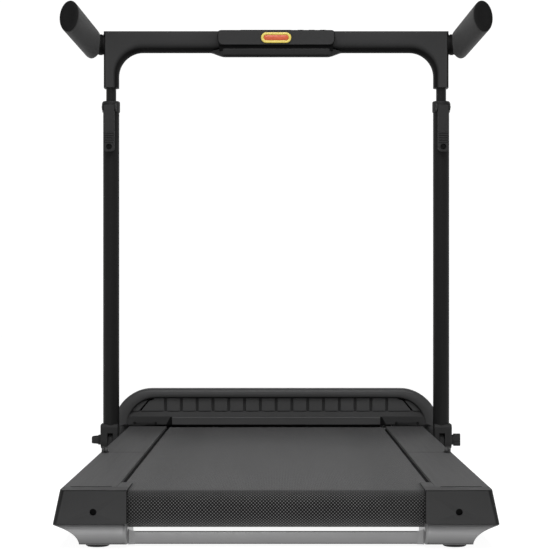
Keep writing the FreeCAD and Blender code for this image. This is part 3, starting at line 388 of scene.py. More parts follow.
def loft(rings, around=True):
    """Skin over rings of equal length: a solid with flat ends, or an open arch with its far end."""
    mesh = bmesh.new()
    rows = [[mesh.verts.new(point) for point in ring] for ring in rings]
    count = len(rows[0])
    for lower, upper in zip(rows, rows[1:]):
        for index in range(count if around else count - 1):
            ahead = (index + 1) % count
            mesh.faces.new((lower[index], lower[ahead], upper[ahead], upper[index]))
    if around:
        mesh.faces.new(reversed(rows[0]))
    mesh.faces.new(rows[-1])
    bmesh.ops.recalc_face_normals(mesh, faces=mesh.faces)
    return mesh


def prism(axis, outline, start, end):
    """Outline drawn out along an axis."""
    return loft([[lift(point, axis, level) for point in outline] for level in (start, end)])


def slab(low, high):
    """Block between two corners, as the start of a bevelled piece."""
    outline = [(low[0], low[1]), (high[0], low[1]), (high[0], high[1]), (low[0], high[1])]
    return prism("z", outline, low[2], high[2])


def lathe(axis, centre, profile, steps=48):
    """Solid of revolution: profile is (along, radius) from one end to the other."""
    first, second = [index for index in range(3) if index != AXES[axis]]
    rings = []
    for along, radius in profile:
        round_points = arc(centre[first], centre[second], radius, 0, 2 * math.pi, steps)[:-1]
        rings.append([lift(point, axis, along) for point in round_points])
    return loft(rings)


def stored(name, mesh):
    """Mesh data made from a bmesh, which is freed."""
    data = bpy.data.meshes.new(name)
    mesh.to_mesh(data)
    mesh.free()
    return data


def shown(name, data):
    """New object in the scene."""
    thing = bpy.data.objects.new(name, data)
    bpy.context.scene.collection.objects.link(thing)
    return thing


def join(*meshes):
    """Several closed shells in one mesh."""
    whole = bmesh.new()
    for mesh in meshes:
        spare = stored("spare", mesh)
        whole.from_mesh(spare)
        bpy.data.meshes.remove(spare)
    return whole


def flipped(mesh):
    """Mirror image across the machine's middle plane."""
    bmesh.ops.scale(mesh, vec=(-1, 1, 1), verts=mesh.verts)
    bmesh.ops.reverse_faces(mesh, faces=mesh.faces)
    return mesh


def inset_point(outline, reaches, index):
    """Where two neighbouring edges meet once each has moved inward by its own reach."""
    before, corner, after = outline[index - 1], outline[index], outline[(index + 1) % len(outline)]
    normals = [Vector((-(end - start).y, (end - start).x)).normalized()
               for start, end in ((before, corner), (corner, after))]
    moves = (reaches[index - 1], reaches[index])
    turn = normals[0].x * normals[1].y - normals[0].y * normals[1].x
    if abs(turn) < 0.02:
        return corner + (normals[0] * moves[0] + normals[1] * moves[1]) / 2
    across = (moves[0] * normals[1].y - moves[1] * normals[0].y) / turn
    up = (moves[1] * normals[0].x - moves[0] * normals[1].x) / turn
    return corner + Vector((across, up))


def rounded_slab(axis, outline, radii, start, end, both=True, deepest=1.0):
    """Thick plate whose rim is rounded, each outline edge by its own radius.

    The outline runs anticlockwise, and radii[i] belongs to the edge from point i to point i + 1.
    The far side stays square unless both is set.  A rim no deeper than deepest turns oval.
    """
    outline = [Vector(point) for point in outline]
    largest = min(max(radii), deepest)
    rim_steps = 7
    rings = []
    for step in range(rim_steps + 1):
        depth = largest * (1 - math.cos(math.pi / 2 * step / rim_steps))
        reaches = []
        for radius in radii:
            rest = max(1 - depth / min(radius, deepest), 0.0)
            reaches.append(radius * (1 - math.sqrt(1 - rest * rest)))
        rings.append((depth, [inset_point(outline, reaches, index) for index in range(len(outline))]))
    layers = [[lift(point, axis, start + depth) for point in ring] for depth, ring in rings]
    far = reversed(rings) if both else [(0.0, rings[-1][1])]
    layers += [[lift(point, axis, end - depth) for point in ring] for depth, ring in far]
    return loft(layers)


def piece(name, mesh, material, body=None, replaces=(), cuts=(), bevel=0.0, segments=3, angle=32, wall=0.0):
    """Finished piece: smooth shading, a wall or bevel, its cuts, its material and its body."""
    for face in mesh.faces:
        face.smooth = True
    for edge in mesh.edges:
        if len(edge.link_faces) == 2 and edge.calc_face_angle(0) > math.radians(angle):
            edge.smooth = False
    thing = shown(name, stored(name, mesh))
    thing.data.materials.append(MATERIALS[material])
    if bevel:
        soften(thing, bevel, segments, angle)
    if wall:
        shell = thing.modifiers.new("wall", "SOLIDIFY")
        shell.thickness = wall
        shell.offset = 0.0
    for cut in cuts:
        carve(thing, cut)
    if body:
        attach(thing, body)
    if replaces:
        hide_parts(*replaces)
    return thing


def soften(thing, width, segments, angle):
    """Bevel the sharp edges and keep the faces beside them flat."""
    bevel = thing.modifiers.new("edges", "BEVEL")
    bevel.width = width
    bevel.segments = segments
    bevel.limit_method = "ANGLE"
    bevel.angle_limit = math.radians(angle)
    bevel.harden_normals = True


def steady(*things):
    """Keep the shading of large flat faces flat beside their rounded rims."""
    for thing in things:
        thing.modifiers.new("steady", "WEIGHTED_NORMAL").keep_sharp = True


def carve(thing, cutter_mesh):
    """Cut a closed shape out of a piece."""
    cutter = shown("cutter", stored("cutter", cutter_mesh))
    boolean = thing.modifiers.new("cut", "BOOLEAN")
    boolean.operation = "DIFFERENCE"
    boolean.solver = "EXACT"
    boolean.object = cutter
    bpy.context.view_layer.update()
    ready = bpy.data.meshes.new_from_object(thing.evaluated_get(bpy.context.evaluated_depsgraph_get()))
    thing.modifiers.clear()
    thing.data = ready
    bpy.data.objects.remove(cutter)


def both_sides(name, mesh, material, body, replaces=(), cuts=(), **settings):
    """The same piece on each side; its mesh and cuts are given for the right-hand side."""
    made = []
    for side, sign in SIDES.items():
        shapes = [shape.copy() for shape in (mesh, *cuts)]
        if sign < 0:
            shapes = [flipped(shape) for shape in shapes]
        nodes = [node.format(side=side) for node in replaces]
        made.append(piece(name.format(side=side), shapes[0], material, body.format(side=side), nodes,
                          shapes[1:], **settings))
    return made


# ---- stations

cap_low, cap_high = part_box("end_cap_right")
casting_low, casting_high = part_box("rear_casting_right")
hood_low, hood_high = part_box("hood_shell")
belt_low, belt_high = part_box("belt_front")
rear_belt_low, rear_belt_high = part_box("belt_rear")
post_low, post_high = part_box("post_right")
arch_low, arch_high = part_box("handlebar_frame")
console_low, console_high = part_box("console_housing")
rod_low, rod_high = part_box("inner_rods")

REAR = cad_box[0][1]
SEAM = (rear_belt_high[1] + belt_low[1]) / 2
HOOD_BACK = hood_low[1]
HOOD_HALF = hood_high[0]
HOOD_TOP = hood_high[2]
HOOD_SHOULDER = 0.0755
HOOD_SILL = 0.085
HOOD_FOOT = hood_low[2]
NOSE = hood_high[1]
POST_X = (post_low[0] + post_high[0]) / 2
POST_Y = (post_low[1] + post_high[1]) / 2
POST_RADIUS = (post_high[0] - post_low[0]) / 2
PIVOT_UP = 0.064
LEVER_X = POST_X + 0.002
BAR_BACK, BAR_FRONT = POST_Y - 0.018, POST_Y + 0.018
BAR_UNDER = 0.829
GRIP_UP = 0.8457
CONSOLE_BACK = console_low[1]
CONSOLE_HALF = 0.113
CONSOLE_TOP = 0.8695
CONSOLE_TILT = math.radians(7.1)
BELLY_HALF = 0.101


# ---- walking belt

def belt_path():
    """Centre line of the belt in the (Y, Z) plane, once round from above the front roller."""
    radius = (belt_high[2] - belt_low[2]) / 2 - 0.001
    height = (belt_high[2] + belt_low[2]) / 2
    rear = rear_belt_low[1] + radius + 0.001
    front = belt_high[1] - radius - 0.001
    run_steps, turn_steps = 60, 24
    points = []
    for start, end, level, turn in ((front, rear, height + radius, math.pi / 2),
                                    (rear, front, height - radius, -math.pi / 2)):
        points += [(start + (end - start) * step / run_steps, level) for step in range(run_steps)]
        points += arc(end, height, radius, turn, turn + math.pi, turn_steps)[:-1]
    return [Vector(point) for point in points]


def build_belt():
    """One endless belt with thickness; its own UV map runs along its length in metres."""
    path = belt_path()
    count = len(path)
    columns = [belt_high[0] * share for share in (-1, -0.5, 0, 0.5, 1)]
    mesh = bmesh.new()
    uv = mesh.loops.layers.uv.new("belt")
    rows = [[mesh.verts.new((across, point.x, point.y)) for across in columns] for point in path]
    travelled = 0.0
    for index in range(count):
        ahead = (index + 1) % count
        reached = travelled + (path[ahead] - path[index]).length
        for column in range(len(columns) - 1):
            beside = column + 1
            face = mesh.faces.new((rows[index][column], rows[index][beside], rows[ahead][beside],
                                   rows[ahead][column]))
            marks = ((column, travelled), (beside, travelled), (beside, reached), (column, reached))
            for loop, (side, distance) in zip(face.loops, marks):
                loop[uv].uv = (columns[side], distance)
        travelled = reached
    bmesh.ops.recalc_face_normals(mesh, faces=mesh.faces)
    belt = piece("walking_belt", mesh, "belt_rubber", angle=60, wall=0.002)
    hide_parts("belt_front", "belt_rear")
    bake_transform(belt)


# ---- rear end

def build_end_caps():
    """Cap shells, round at the outer corner; each has a tongue over the rail, a groove and a hole."""
    low, high = cap_low, cap_high
    outline = [(low[0], low[2]), (high[0], low[2]), (high[0] - 0.01, high[2]), (low[0], high[2])]
    shell = rounded_slab("y", outline, [0.0006, 0.009, 0.0024, 0.0012], low[1], REAR + 0.044, both=False)
    inside = slab((0.2035, REAR + 0.0035, 0.026), (0.2965, REAR + 0.05, 0.0795))
    axle = (0.253, 0, 0.0515)
    hole = lathe("y", axle, [(REAR - 0.002, 0.00475), (REAR + 0.006, 0.00475)])
    both_sides("end_cap_{side}_shell", shell, "cap_plastic", "rear_deck", ["end_cap_{side}"],
               [inside, hole], angle=40)
    rail_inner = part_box("rear_rail_right")[0][0]
    tongue = slab((low[0] + 0.0005, REAR + 0.044, 0.0803), (rail_inner - 0.0002, REAR + 0.106, 0.082))
    groove = slab((0.231, REAR + 0.0436, 0.0816), (0.289, REAR + 0.0452, 0.0824))
    liner = lathe("y", axle, [(REAR + 0.0035, 0.0075), (REAR + 0.006, 0.0075)], 24)
    both_sides("end_cap_{side}_tongue", tongue, "rail_plastic", "rear_deck", bevel=0.0006)
    both_sides("end_cap_{side}_groove", groove, "hole_dark", "rear_deck", bevel=0.0003)
    both_sides("end_cap_{side}_hole", liner, "hole_dark", "rear_deck")


def build_castings():
    """Castings: a thin lip sweeps down into an upright side, and the rear face is slightly crowned."""
    low, high = casting_low, casting_high
    sweep_points, levels, crown, crown_reach = 19, 8, 0.004, 0.01
    curve = [(high[0], high[2] - 0.0015), (0.3, 0.0295), (0.274, 0.024), (0.2728, low[2])]
    sweep = interpolate_bezier(*[Vector(point) for point in curve], sweep_points)
    outline = [(low[0], low[2]), *reversed(sweep), (high[0], high[2]), (low[0], high[2])]
    radii = [0.0022] + [0.0011] * (len(outline) - 2) + [0.007]
    mesh = rounded_slab("y", outline, radii, low[1], high[1])
    middle, half = (low[2] + high[2]) / 2, (high[2] - low[2]) / 2
    for level in range(1, levels):
        cut = (0, 0, low[2] + 2 * half * level / levels)
        everything = mesh.verts[:] + mesh.edges[:] + mesh.faces[:]
        bmesh.ops.bisect_plane(mesh, geom=everything, plane_co=cut, plane_no=(0, 0, 1))
    for vertex in mesh.verts:
        if vertex.co.y < low[1] + crown_reach:
            vertex.co.y += crown * ((vertex.co.z - middle) / half) ** 2
    steady(*both_sides("rear_casting_{side}_body", mesh, "silver_cast", "rear_deck",
                       ["rear_casting_{side}"], angle=40))


def build_stand_bar():
    """Silver bar between the castings, its top falling away, with a small fillet at each end."""
    low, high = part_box("rear_stand_bar")
    inner = casting_low[0]
    section = rounded([(low[1], low[2], 0.002), (high[1], low[2], 0.002), (high[1], high[2] - 0.0055, 0.002),
                       (low[1], high[2], 0.0015)], 4)
    piece("rear_stand_bar_tube", prism("x", section, -inner, inner), "silver_cast", "rear_deck",
          ["rear_stand_bar"], angle=40)
    reach, swell, steps, skin = 0.009, 0.0035, 10, 0.0002
    rings = []
    for step in range(steps + 1):
        turn = math.pi / 2 * step / steps
        extra = swell * (1 - math.cos(turn))
        back, front = low[1] - extra - skin, high[1] + extra
        section = [(back, low[2] - skin), (front, low[2] - skin), (front, high[2] - 0.005 + extra),
                   (back, high[2] + extra + skin)]
        rings.append([lift(point, "x", inner - reach + reach * math.sin(turn)) for point in section])
    both_sides("stand_bar_fillet_{side}", loft(rings), "silver_cast", "rear_deck", bevel=0.0012, angle=50)


def build_feet():
    """Rubber feet with a rounded sole and a waist; each spot is (across, along, height)."""
    radius = 0.017
    plan = (("chassis", "chassis_feet", [(0.255, -0.1125, 0.02), (0.255, 0.6475, 0.02)]),
            ("rear_deck", "rear_feet", [(0.25, REAR + 0.0375, 0.006), (0.255, SEAM - 0.04, 0.02)]))
    for body, node, spots in plan:
        pads = []
        for across, along, height in spots:
            profile = [(0.0, radius * 0.86), (0.0012, radius * 0.97), (0.003, radius),
                       (height * 0.7, radius * 0.97), (height * 0.8, radius * 0.8), (height, radius * 0.8)]
            pads += [lathe("z", (sign * across, along, 0), profile) for sign in SIDES.values()]
        piece(f"{body}_rubber_feet", join(*pads), "foot_rubber", body, [node], angle=50)


# ---- hood

def hood_ring(station, half_width, top, shoulder):
    """Arch section of the hood from its left foot over the top to its right foot."""
    middle, level = half_width - shoulder, top - shoulder
    section = [(-half_width, HOOD_FOOT), *arc(-middle, level, shoulder, math.pi, math.pi / 2, 14),
               *arc(middle, level, shoulder, math.pi / 2, 0, 14), (half_width, HOOD_FOOT)]
    return [lift(point, "y", station) for point in section]


def hood_body_ring(station, drop=0.0):
    """Section of the hood where its top falls in a soft curve to the nose."""
    flat_end = HOOD_BACK + 0.05
    share = max(station - flat_end, 0.0) / (NOSE - flat_end)
    top = HOOD_TOP - 0.069 * share ** 1.12 - drop
    return hood_ring(station, HOOD_HALF - drop, top, min(HOOD_SHOULDER, (top - HOOD_FOOT) * 0.62))


def hood_skin():
    """Open arch: recess wall, rim, outer skin, rounded nose."""
    rim_side, rim_top = 0.025, 0.0165
    rim = ((0.012, rim_side, rim_top), (0.0025, rim_side, rim_top),
           (0.0007, rim_side - 0.0007, rim_top - 0.0007),
           (0.0, rim_side - 0.0025, rim_top - 0.0025), (0.0, 0.0055, 0.0055), (0.0012, 0.0022, 0.0022),
           (0.004, 0.0004, 0.0004), (0.008, 0.0, 0.0))
    rings = [hood_ring(HOOD_BACK + along, HOOD_HALF - side, HOOD_TOP - top, HOOD_SHOULDER - top * 0.9)
             for along, side, top in rim]
    body_steps, nose_steps, nose_radius = 16, 6, 0.022
    body_start, body_end = HOOD_BACK + 0.008, NOSE - nose_radius
    for step in range(1, body_steps + 1):
        rings.append(hood_body_ring(body_start + (body_end - body_start) * step / body_steps))
    for step in range(1, nose_steps + 1):
        turn = math.pi / 2 * step / nose_steps
        rings.append(hood_body_ring(body_end + nose_radius * math.sin(turn),
                                    nose_radius * (1 - math.cos(turn))))
    return loft(rings, around=False)


def build_hood():
    """Hood skin with its mouth and inlet window, the sill across the mouth, its lip, and a dark sheet of
    painted shade in the gap at the lip's foot.
    """
    back = HOOD_BACK
    inlet_low, inlet_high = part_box("power_inlet")
    mouth = slab((-0.311, back - 0.01, 0.02), (0.311, back + 0.02, HOOD_SILL))
    window = slab((inlet_low[0], NOSE - 0.03, inlet_low[2]), (inlet_high[0], NOSE + 0.01, inlet_high[2]))
    piece("hood_skin", hood_skin(), "hood_plastic", "chassis", ["hood_shell"], [mouth, window],
          angle=60, wall=0.0028)
    sill = [(back + 0.0002, HOOD_SILL), (back + 0.0002, 0.1025), (back + 0.0085, 0.1135),
            (back + 0.012, 0.1135), (back + 0.012, HOOD_SILL)]
    # The sill uses a darker copy of the hood plastic: painted shade.
    piece("hood_sill", prism("x", sill, -0.306, 0.306), "sill_shaded_plastic", "chassis", bevel=0.0012)
    lip_foot = HOOD_SILL + 0.0002
    lip = [(back - 0.0012, lip_foot), (back - 0.0012, 0.1), (back + 0.001, 0.1022), (back + 0.004, 0.1022),
           (back + 0.004, lip_foot)]
    piece("hood_lip", prism("x", lip, -0.2126, 0.2126), "hood_plastic", "chassis", bevel=0.0008)
    # Painted shade: a dark sheet fills the gap behind the foot of the lip.
    gap_shade_sheet = slab((-0.2122, back + 0.0045, 0.0803), (0.2122, back + 0.0065, 0.0875))
    piece("hood_curtain", gap_shade_sheet, "hole_dark", "chassis", bevel=0.0003)


def opening_half_width(level):
    """Half width of the hood's rear opening at a height, less the panel's margin."""
    radius, margin = HOOD_SHOULDER - 0.020, 0.005
    rise = max(0.0, level - HOOD_TOP + HOOD_SHOULDER)
    reach = math.sqrt(max(0.0, radius * radius - rise * rise))
    return HOOD_HALF - HOOD_SHOULDER + reach - margin


def build_vent():
    """Ribbed panel: raised blocks, shallow grooves between them and a crescent at each end."""
    pitch, half_slot, count, steps = 0.0323, 0.0029, 7, 10
    bottom, top = 0.1125, 0.1400
    front, behind = HOOD_BACK + 0.0058, HOOD_BACK + 0.0108
    # A dark backing plate behind the ribs: painted shade inside the vent.
    plate = slab((-0.3, HOOD_BACK + 0.0105, bottom - 0.004), (0.3, HOOD_BACK + 0.0125, HOOD_TOP - 0.012))
    piece("hood_vent_back", plate, "hole_dark", "chassis", ["hood_vent_panel"], bevel=0.0004)
    blocks, grooves = [], []
    for index in range(-count, count + 1):
        left, right = index * pitch - half_slot, index * pitch + half_slot
        grooves.append(slab((left, front + 0.0022, bottom), (right, behind, top)))
        if index < count:
            blocks.append(slab((right, front, bottom), (left + pitch, behind, top)))
    levels = [bottom + (top - bottom) * step / steps for step in range(steps + 1)]
    inner = count * pitch + half_slot
    slant = [(inner, bottom), (0.2768, bottom), (0.2545, top), (inner, top)]
    rim = [(opening_half_width(level), level) for level in levels]
    seam = [(0.2808 - 0.0235 * step / steps, level) for step, level in enumerate(levels)]
    for outline in (slant, rim + seam[::-1]):
        block = prism("y", outline, front, behind)
        blocks += [block.copy(), flipped(block)]
    piece("hood_vent_blocks", join(*blocks), "hood_plastic", "chassis", bevel=0.0009)
    # The grooves take a darker plastic than the blocks: painted shade in the recesses.
    piece("hood_vent_grooves", join(*grooves), "black_plastic", "chassis", bevel=0.0003)


def build_hood_trim():
    """Plate with two screws over each rail, the notch beside it, and the strip beside the belt."""
    plate = slab((0.2475, HOOD_BACK - 0.0007, 0.0879), (0.2875, HOOD_BACK + 0.002, 0.0897))
    notch = prism("y", [(0.2128, 0.0853), (0.2245, 0.0853), (0.2165, 0.1008), (0.2128, 0.1008)],
                  HOOD_BACK - 0.0006, HOOD_BACK + 0.001)
    both_sides("hood_trim_plate_{side}", plate, "handle_plastic", "chassis", bevel=0.0008)
    # The notch is a thin dark wedge: painted shade in the gap between the trim and the lip.
    both_sides("hood_notch_{side}", notch, "hole_dark", "chassis", bevel=0.0002)
    profile = [(HOOD_BACK - out, radius) for out, radius in (
        (0.0004, 0.0026), (0.0014, 0.0026), (0.002, 0.002), (0.002, 0.0011), (0.0012, 0.0009))]
    heads = [lathe("y", (across, 0, 0.089), profile, 24) for across in (-0.289, -0.2456, 0.2456, 0.289)]
    piece("hood_screw_heads", join(*heads), "powder_coat", "chassis", ["hood_screws"], angle=40)
    guide = slab((0.2183, 0.4285, 0.064), (0.2237, 0.4745, 0.0745))
    both_sides("belt_guide_{side}", guide, "shadow_plastic", "chassis", bevel=0.0008)


# ---- uprights

def build_posts():
    """Round post tubes on fork blocks, each with a rounded toe round its pivot."""
    tube = lathe("z", (POST_X, POST_Y, 0), [(post_low[2], POST_RADIUS), (post_high[2], POST_RADIUS)], 64)
    both_sides("post_tube_{side}", tube, "powder_coat", "uprights", ["post_{side}"], angle=50)
    deep, head = 0.018, 0.096
    outline = [(POST_Y - deep, head - 0.006), *arc(POST_Y, PIVOT_UP, deep, math.pi, 2 * math.pi, 16),
               (POST_Y + deep, head - 0.006), (POST_Y + deep - 0.004, head), (POST_Y - deep + 0.004, head)]
    fork_slot = slab((0.3215, POST_Y - 0.03, 0.03), (0.3325, POST_Y + 0.03, 0.078))
    bore = lathe("x", (0, POST_Y, PIVOT_UP), [(0.305, 0.00505), (0.352, 0.00505)], 32)
    shoes = both_sides("post_shoe_{side}", prism("x", outline, 0.3115, 0.3464), "black_plastic",
                       "uprights", cuts=[fork_slot, bore], bevel=0.0022, segments=4)
    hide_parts("post_shoes")


def clamp_collar():
    """Cap collar with two ears that carry the lever's pin."""
    low, high, radius = 0.711, 0.7334, 0.0175
    ring = lathe("z", (POST_X, POST_Y, 0), [
        (low, radius - 0.001), (low + 0.001, radius), (high - 0.002, radius), (high, radius - 0.002),
        (high, 0.0102), (high - 0.02, 0.0102), (high - 0.02, 0.016), (low, 0.016)], 64)
    ear = rounded([(POST_Y - 0.0285, 0.713, 0.004), (POST_Y - 0.0095, 0.713, 0.001),
                   (POST_Y - 0.0095, 0.7275, 0.001), (POST_Y - 0.0285, 0.7275, 0.004)])
    ears = [prism("x", ear, centre - 0.0014, centre + 0.0014)
            for centre in (LEVER_X - 0.0124, LEVER_X + 0.0124)]
    pin = lathe("x", (0, POST_Y - 0.0235, 0.72), [
        (POST_X - 0.0125, 0.0028), (POST_X - 0.0118, 0.0032), (POST_X + 0.0158, 0.0032),
        (POST_X + 0.0165, 0.0028)], 24)
    return join(ring, *ears, pin)


def lever_blade():
    """Clamp lever: long tongue, rounded foot and five finger ridges."""
    left, right = LEVER_X - 0.0105, LEVER_X + 0.0105
    top, foot_level = 0.7245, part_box("lever_right")[0][2]
    front, back = POST_Y - 0.028, POST_Y - 0.0205
    outline = rounded([(left, foot_level, 0.007), (right, foot_level, 0.007), (right, top, 0.001),
                       (left, top, 0.001)])
    ridges = [slab((left + 0.001, front - 0.0018, level), (right - 0.001, front + 0.001, level + 0.0022))
              for level in (0.6505 + 0.0045 * index for index in range(5))]
    return join(prism("y", outline, front, back), *ridges)


def build_clamps():
    """Collars on the posts, and the levers with a thumb dimple round a dark eye."""
    collars = both_sides("clamp_collar_{side}", clamp_collar(), "black_plastic", "uprights", bevel=0.0006,
                         segments=2, angle=40)
    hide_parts("post_clamps")
    centre = (LEVER_X, 0, 0.6418)
    dimple = lathe("y", centre, [(POST_Y - 0.031, 0.0078), (POST_Y - 0.0276, 0.0056),
                                 (POST_Y - 0.0245, 0.0042)], 32)
    eye = lathe("y", centre, [(POST_Y - 0.0262, 0.0047), (POST_Y - 0.0242, 0.0044)], 24)
    both_sides("lever_{side}_blade", lever_blade(), "black_plastic", "lever_{side}", ["lever_{side}"],
               [dimple], bevel=0.0006, segments=2)
    both_sides("lever_{side}_eye", eye, "hole_dark", "lever_{side}")


def build_knobs():
    """Pivot knobs: hub with a wing; the left wing lies flat and the right one stands."""
    axis = (0, POST_Y, PIVOT_UP)
    wings = {"left": (0.012, 0.012, 0.0575, 0.0705), "right": (0.0075, 0.006, 0.052, 0.076)}
    for side, (foot_half, top_half, bottom, top) in wings.items():
        hub = lathe("x", axis, [(0.3469, 0.0094), (0.3475, 0.01), (0.3515, 0.01), (0.3525, 0.0085),
                                (0.3625, 0.0075)], 40)
        wing = rounded([(POST_Y - foot_half, bottom, 0.003), (POST_Y + foot_half, bottom, 0.003),
                        (POST_Y + top_half, top, 0.003), (POST_Y - top_half, top, 0.003)])
        knob = join(hub, prism("x", wing, 0.3505, 0.3639))
        if SIDES[side] < 0:
            knob = flipped(knob)
        piece(f"knob_{side}_wing", knob, "black_plastic", f"knob_{side}", [f"knob_{side}"], bevel=0.001)
    bolt = lathe("x", axis, [(0.3125, 0.0044), (0.3132, 0.0049), (0.348, 0.0049)], 32)
    both_sides("knob_{side}_bolt", bolt, "bare_steel", "knob_{side}")


# ---- handlebar

def arch_outline():
    """Crossbar and legs as one outline with each edge's rim radius, anticlockwise."""
    leg_inner, leg_outer, bend, steps = 0.3109, 0.3402, 0.048, 16
    leg_rim, bar_rim, top_rim, crisp, foot_rim = 0.0145, 0.025, 0.003, 0.006, 0.0015
    foot_level, over = arch_low[2], arch_high[2]
    inner_right = [(leg_inner, foot_level),
                   *arc(leg_inner - bend, BAR_UNDER - bend, bend, 0, math.pi / 2, steps)]
    inner_left = [(-across, up) for across, up in reversed(inner_right)]
    outer = [(-leg_outer, foot_level), (-leg_outer, over), (leg_outer, over), (leg_outer, foot_level)]
    growing = [leg_rim] + [leg_rim + (bar_rim - leg_rim) * (step + 0.5) / steps for step in range(steps)]
    # Laid out clockwise, with the last radius on the closing edge, and then turned round.
    radii = growing + [bar_rim] + growing[::-1] + [foot_rim, crisp, top_rim, crisp]
    return (inner_right + inner_left + outer)[::-1], radii[::-1] + [foot_rim]


def build_arch():
    """Crossbar, corner webs and legs: a full round inside the bend, crisp edges outside it."""
    outline, radii = arch_outline()
    mesh = rounded_slab("y", outline, radii, BAR_BACK, BAR_FRONT, deepest=0.0172)
    steady(piece("handlebar_arch", mesh, "handle_plastic", "handlebar", ["handlebar_frame"], angle=50))
    radius = 0.0205
    stub = lathe("x", (0, POST_Y, GRIP_UP), [
        (0.338, radius), (0.3415, radius), (0.342, radius - 0.0012), (0.3435, radius - 0.0012),
        (0.344, radius), (0.35, radius), (0.351, radius - 0.001)], 56)
    # The stub takes the near-black grip_end finish: partly its own dark colour, partly painted shade in the
    # gap between grip and bracket.
    both_sides("grip_stub_{side}", stub, "grip_end", "handlebar", angle=50)
    rod = lathe("z", (POST_X, POST_Y, 0), [(rod_low[2], 0.009), (rod_low[2] + 0.001, 0.00995),
                                           (rod_high[2], 0.00995)])
    rods = both_sides("inner_rod_{side}", rod, "dark_tube", "handlebar", angle=50)
    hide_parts("inner_rods")


def grip_loft(stations):
    """Skin over ovals (along, half width, half height) on the axis of the right-hand grip."""
    splay, rise, steps = math.radians(11.7), math.radians(12.6), 40
    root = Vector((0.362, POST_Y, GRIP_UP))
    ahead = Vector((math.sin(splay) * math.cos(rise), -math.cos(splay) * math.cos(rise), math.sin(rise)))
    across = Vector((0, 0, 1)).cross(ahead).normalized()
    up = ahead.cross(across).normalized()
    circle = arc(0, 0, 1, 0, 2 * math.pi, steps)[:-1]
    return loft([[root + ahead * along + across * half_wide * right + up * half_high * above
                  for right, above in circle] for along, half_wide, half_high in stations])


def build_grips():
    """Oval foam sleeves with a rounded heel, a plug in the open end and a hub on the stub."""
    length, wide, high, flare = 0.157, 0.0188, 0.031, 1.03
    heel, heel_long, heel_steps, sleeve_steps = -0.0075, 0.016, 7, 8
    stations = []
    for step in range(heel_steps):
        turn = math.pi / 2 * (step + 0.4) / (heel_steps - 0.6)
        share = math.sin(turn)
        stations.append((heel + heel_long * (1 - math.cos(turn)), wide * share, high * (0.35 + 0.65 * share)))
    for step in range(1, sleeve_steps + 1):
        share = step / sleeve_steps
        grown = 1 + (flare - 1) * share
        stations.append((heel + heel_long + (length - heel - heel_long - 0.004) * share, wide * grown,
                         high * grown))
    # The ends: (distance short of the tip, and how much narrower and lower than the flared end).
    sleeve_end = ((0.0022, 0.0001, 0.0001), (0.0008, 0.0008, 0.0008))
    plug_end = ((0.004, 0.0012, 0.0012), (0.0004, 0.0012, 0.0012), (0.0, 0.0022, 0.0022),
                (0.0, 0.009, 0.0125), (0.0004, 0.013, 0.02))
    tips = [[(length - short, wide * flare - narrower, high * flare - lower)
             for short, narrower, lower in end] for end in (sleeve_end, plug_end)]
    for grip in both_sides("grip_{side}_foam", grip_loft(stations + tips[0]), "grip_foam", "grip_{side}",
                           ["grip_{side}"], angle=50):
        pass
    both_sides("grip_{side}_plug", grip_loft(tips[1]), "grip_end", "grip_{side}", angle=30)
    # The hub takes the near-black grip_end finish: partly its own dark colour, partly painted shade in the
    # gap between grip and bracket.
    hub = lathe("x", (0, POST_Y, GRIP_UP), [(0.3513, 0.0185), (0.3522, 0.0197), (0.356, 0.0197),
                                            (0.364, 0.0175), (0.372, 0.015)])
    both_sides("grip_{side}_hub", hub, "grip_end", "grip_{side}", angle=50)


def console_rise(station):
    """Height of the console's sloping top at a station along the machine."""
    return CONSOLE_TOP + (station - CONSOLE_BACK) * math.tan(CONSOLE_TILT)


def on_slope(mesh):
    """Move a mesh made at the origin onto the sloping top: X across, Y up the slope, Z off it."""
    place = Matrix.Translation((0, CONSOLE_BACK, CONSOLE_TOP)) @ Matrix.Rotation(CONSOLE_TILT, 4, "X")
    bmesh.ops.transform(mesh, matrix=place, verts=mesh.verts)
    return mesh


def belly_ring(across):
    """Section of the fairing under the crossbar at one place across the machine."""
    share = min(max((abs(across) - BELLY_HALF) / (console_high[0] - BELLY_HALF), 0.0), 1.0)
    depth = max(1 - share * share * (3 - 2 * share), 0.01)
    near, low, shelf = CONSOLE_BACK + 0.0045, console_low[2], 0.8345
    heart = Vector((POST_Y - 0.004, BAR_UNDER + 0.003))
    section = rounded([(near, shelf, 0.002), (near + 0.003, low + 0.0003, 0.007),
                       (BAR_FRONT, low + 0.006, 0.003), (BAR_FRONT, BAR_UNDER + 0.0005, 0)], 5)
    ring = []
    for point in section:
        station = heart.x + (point.x - heart.x) * depth if point.x < heart.x else point.x
        ring.append((across, station, heart.y + (point.y - heart.y) * depth))
    return ring


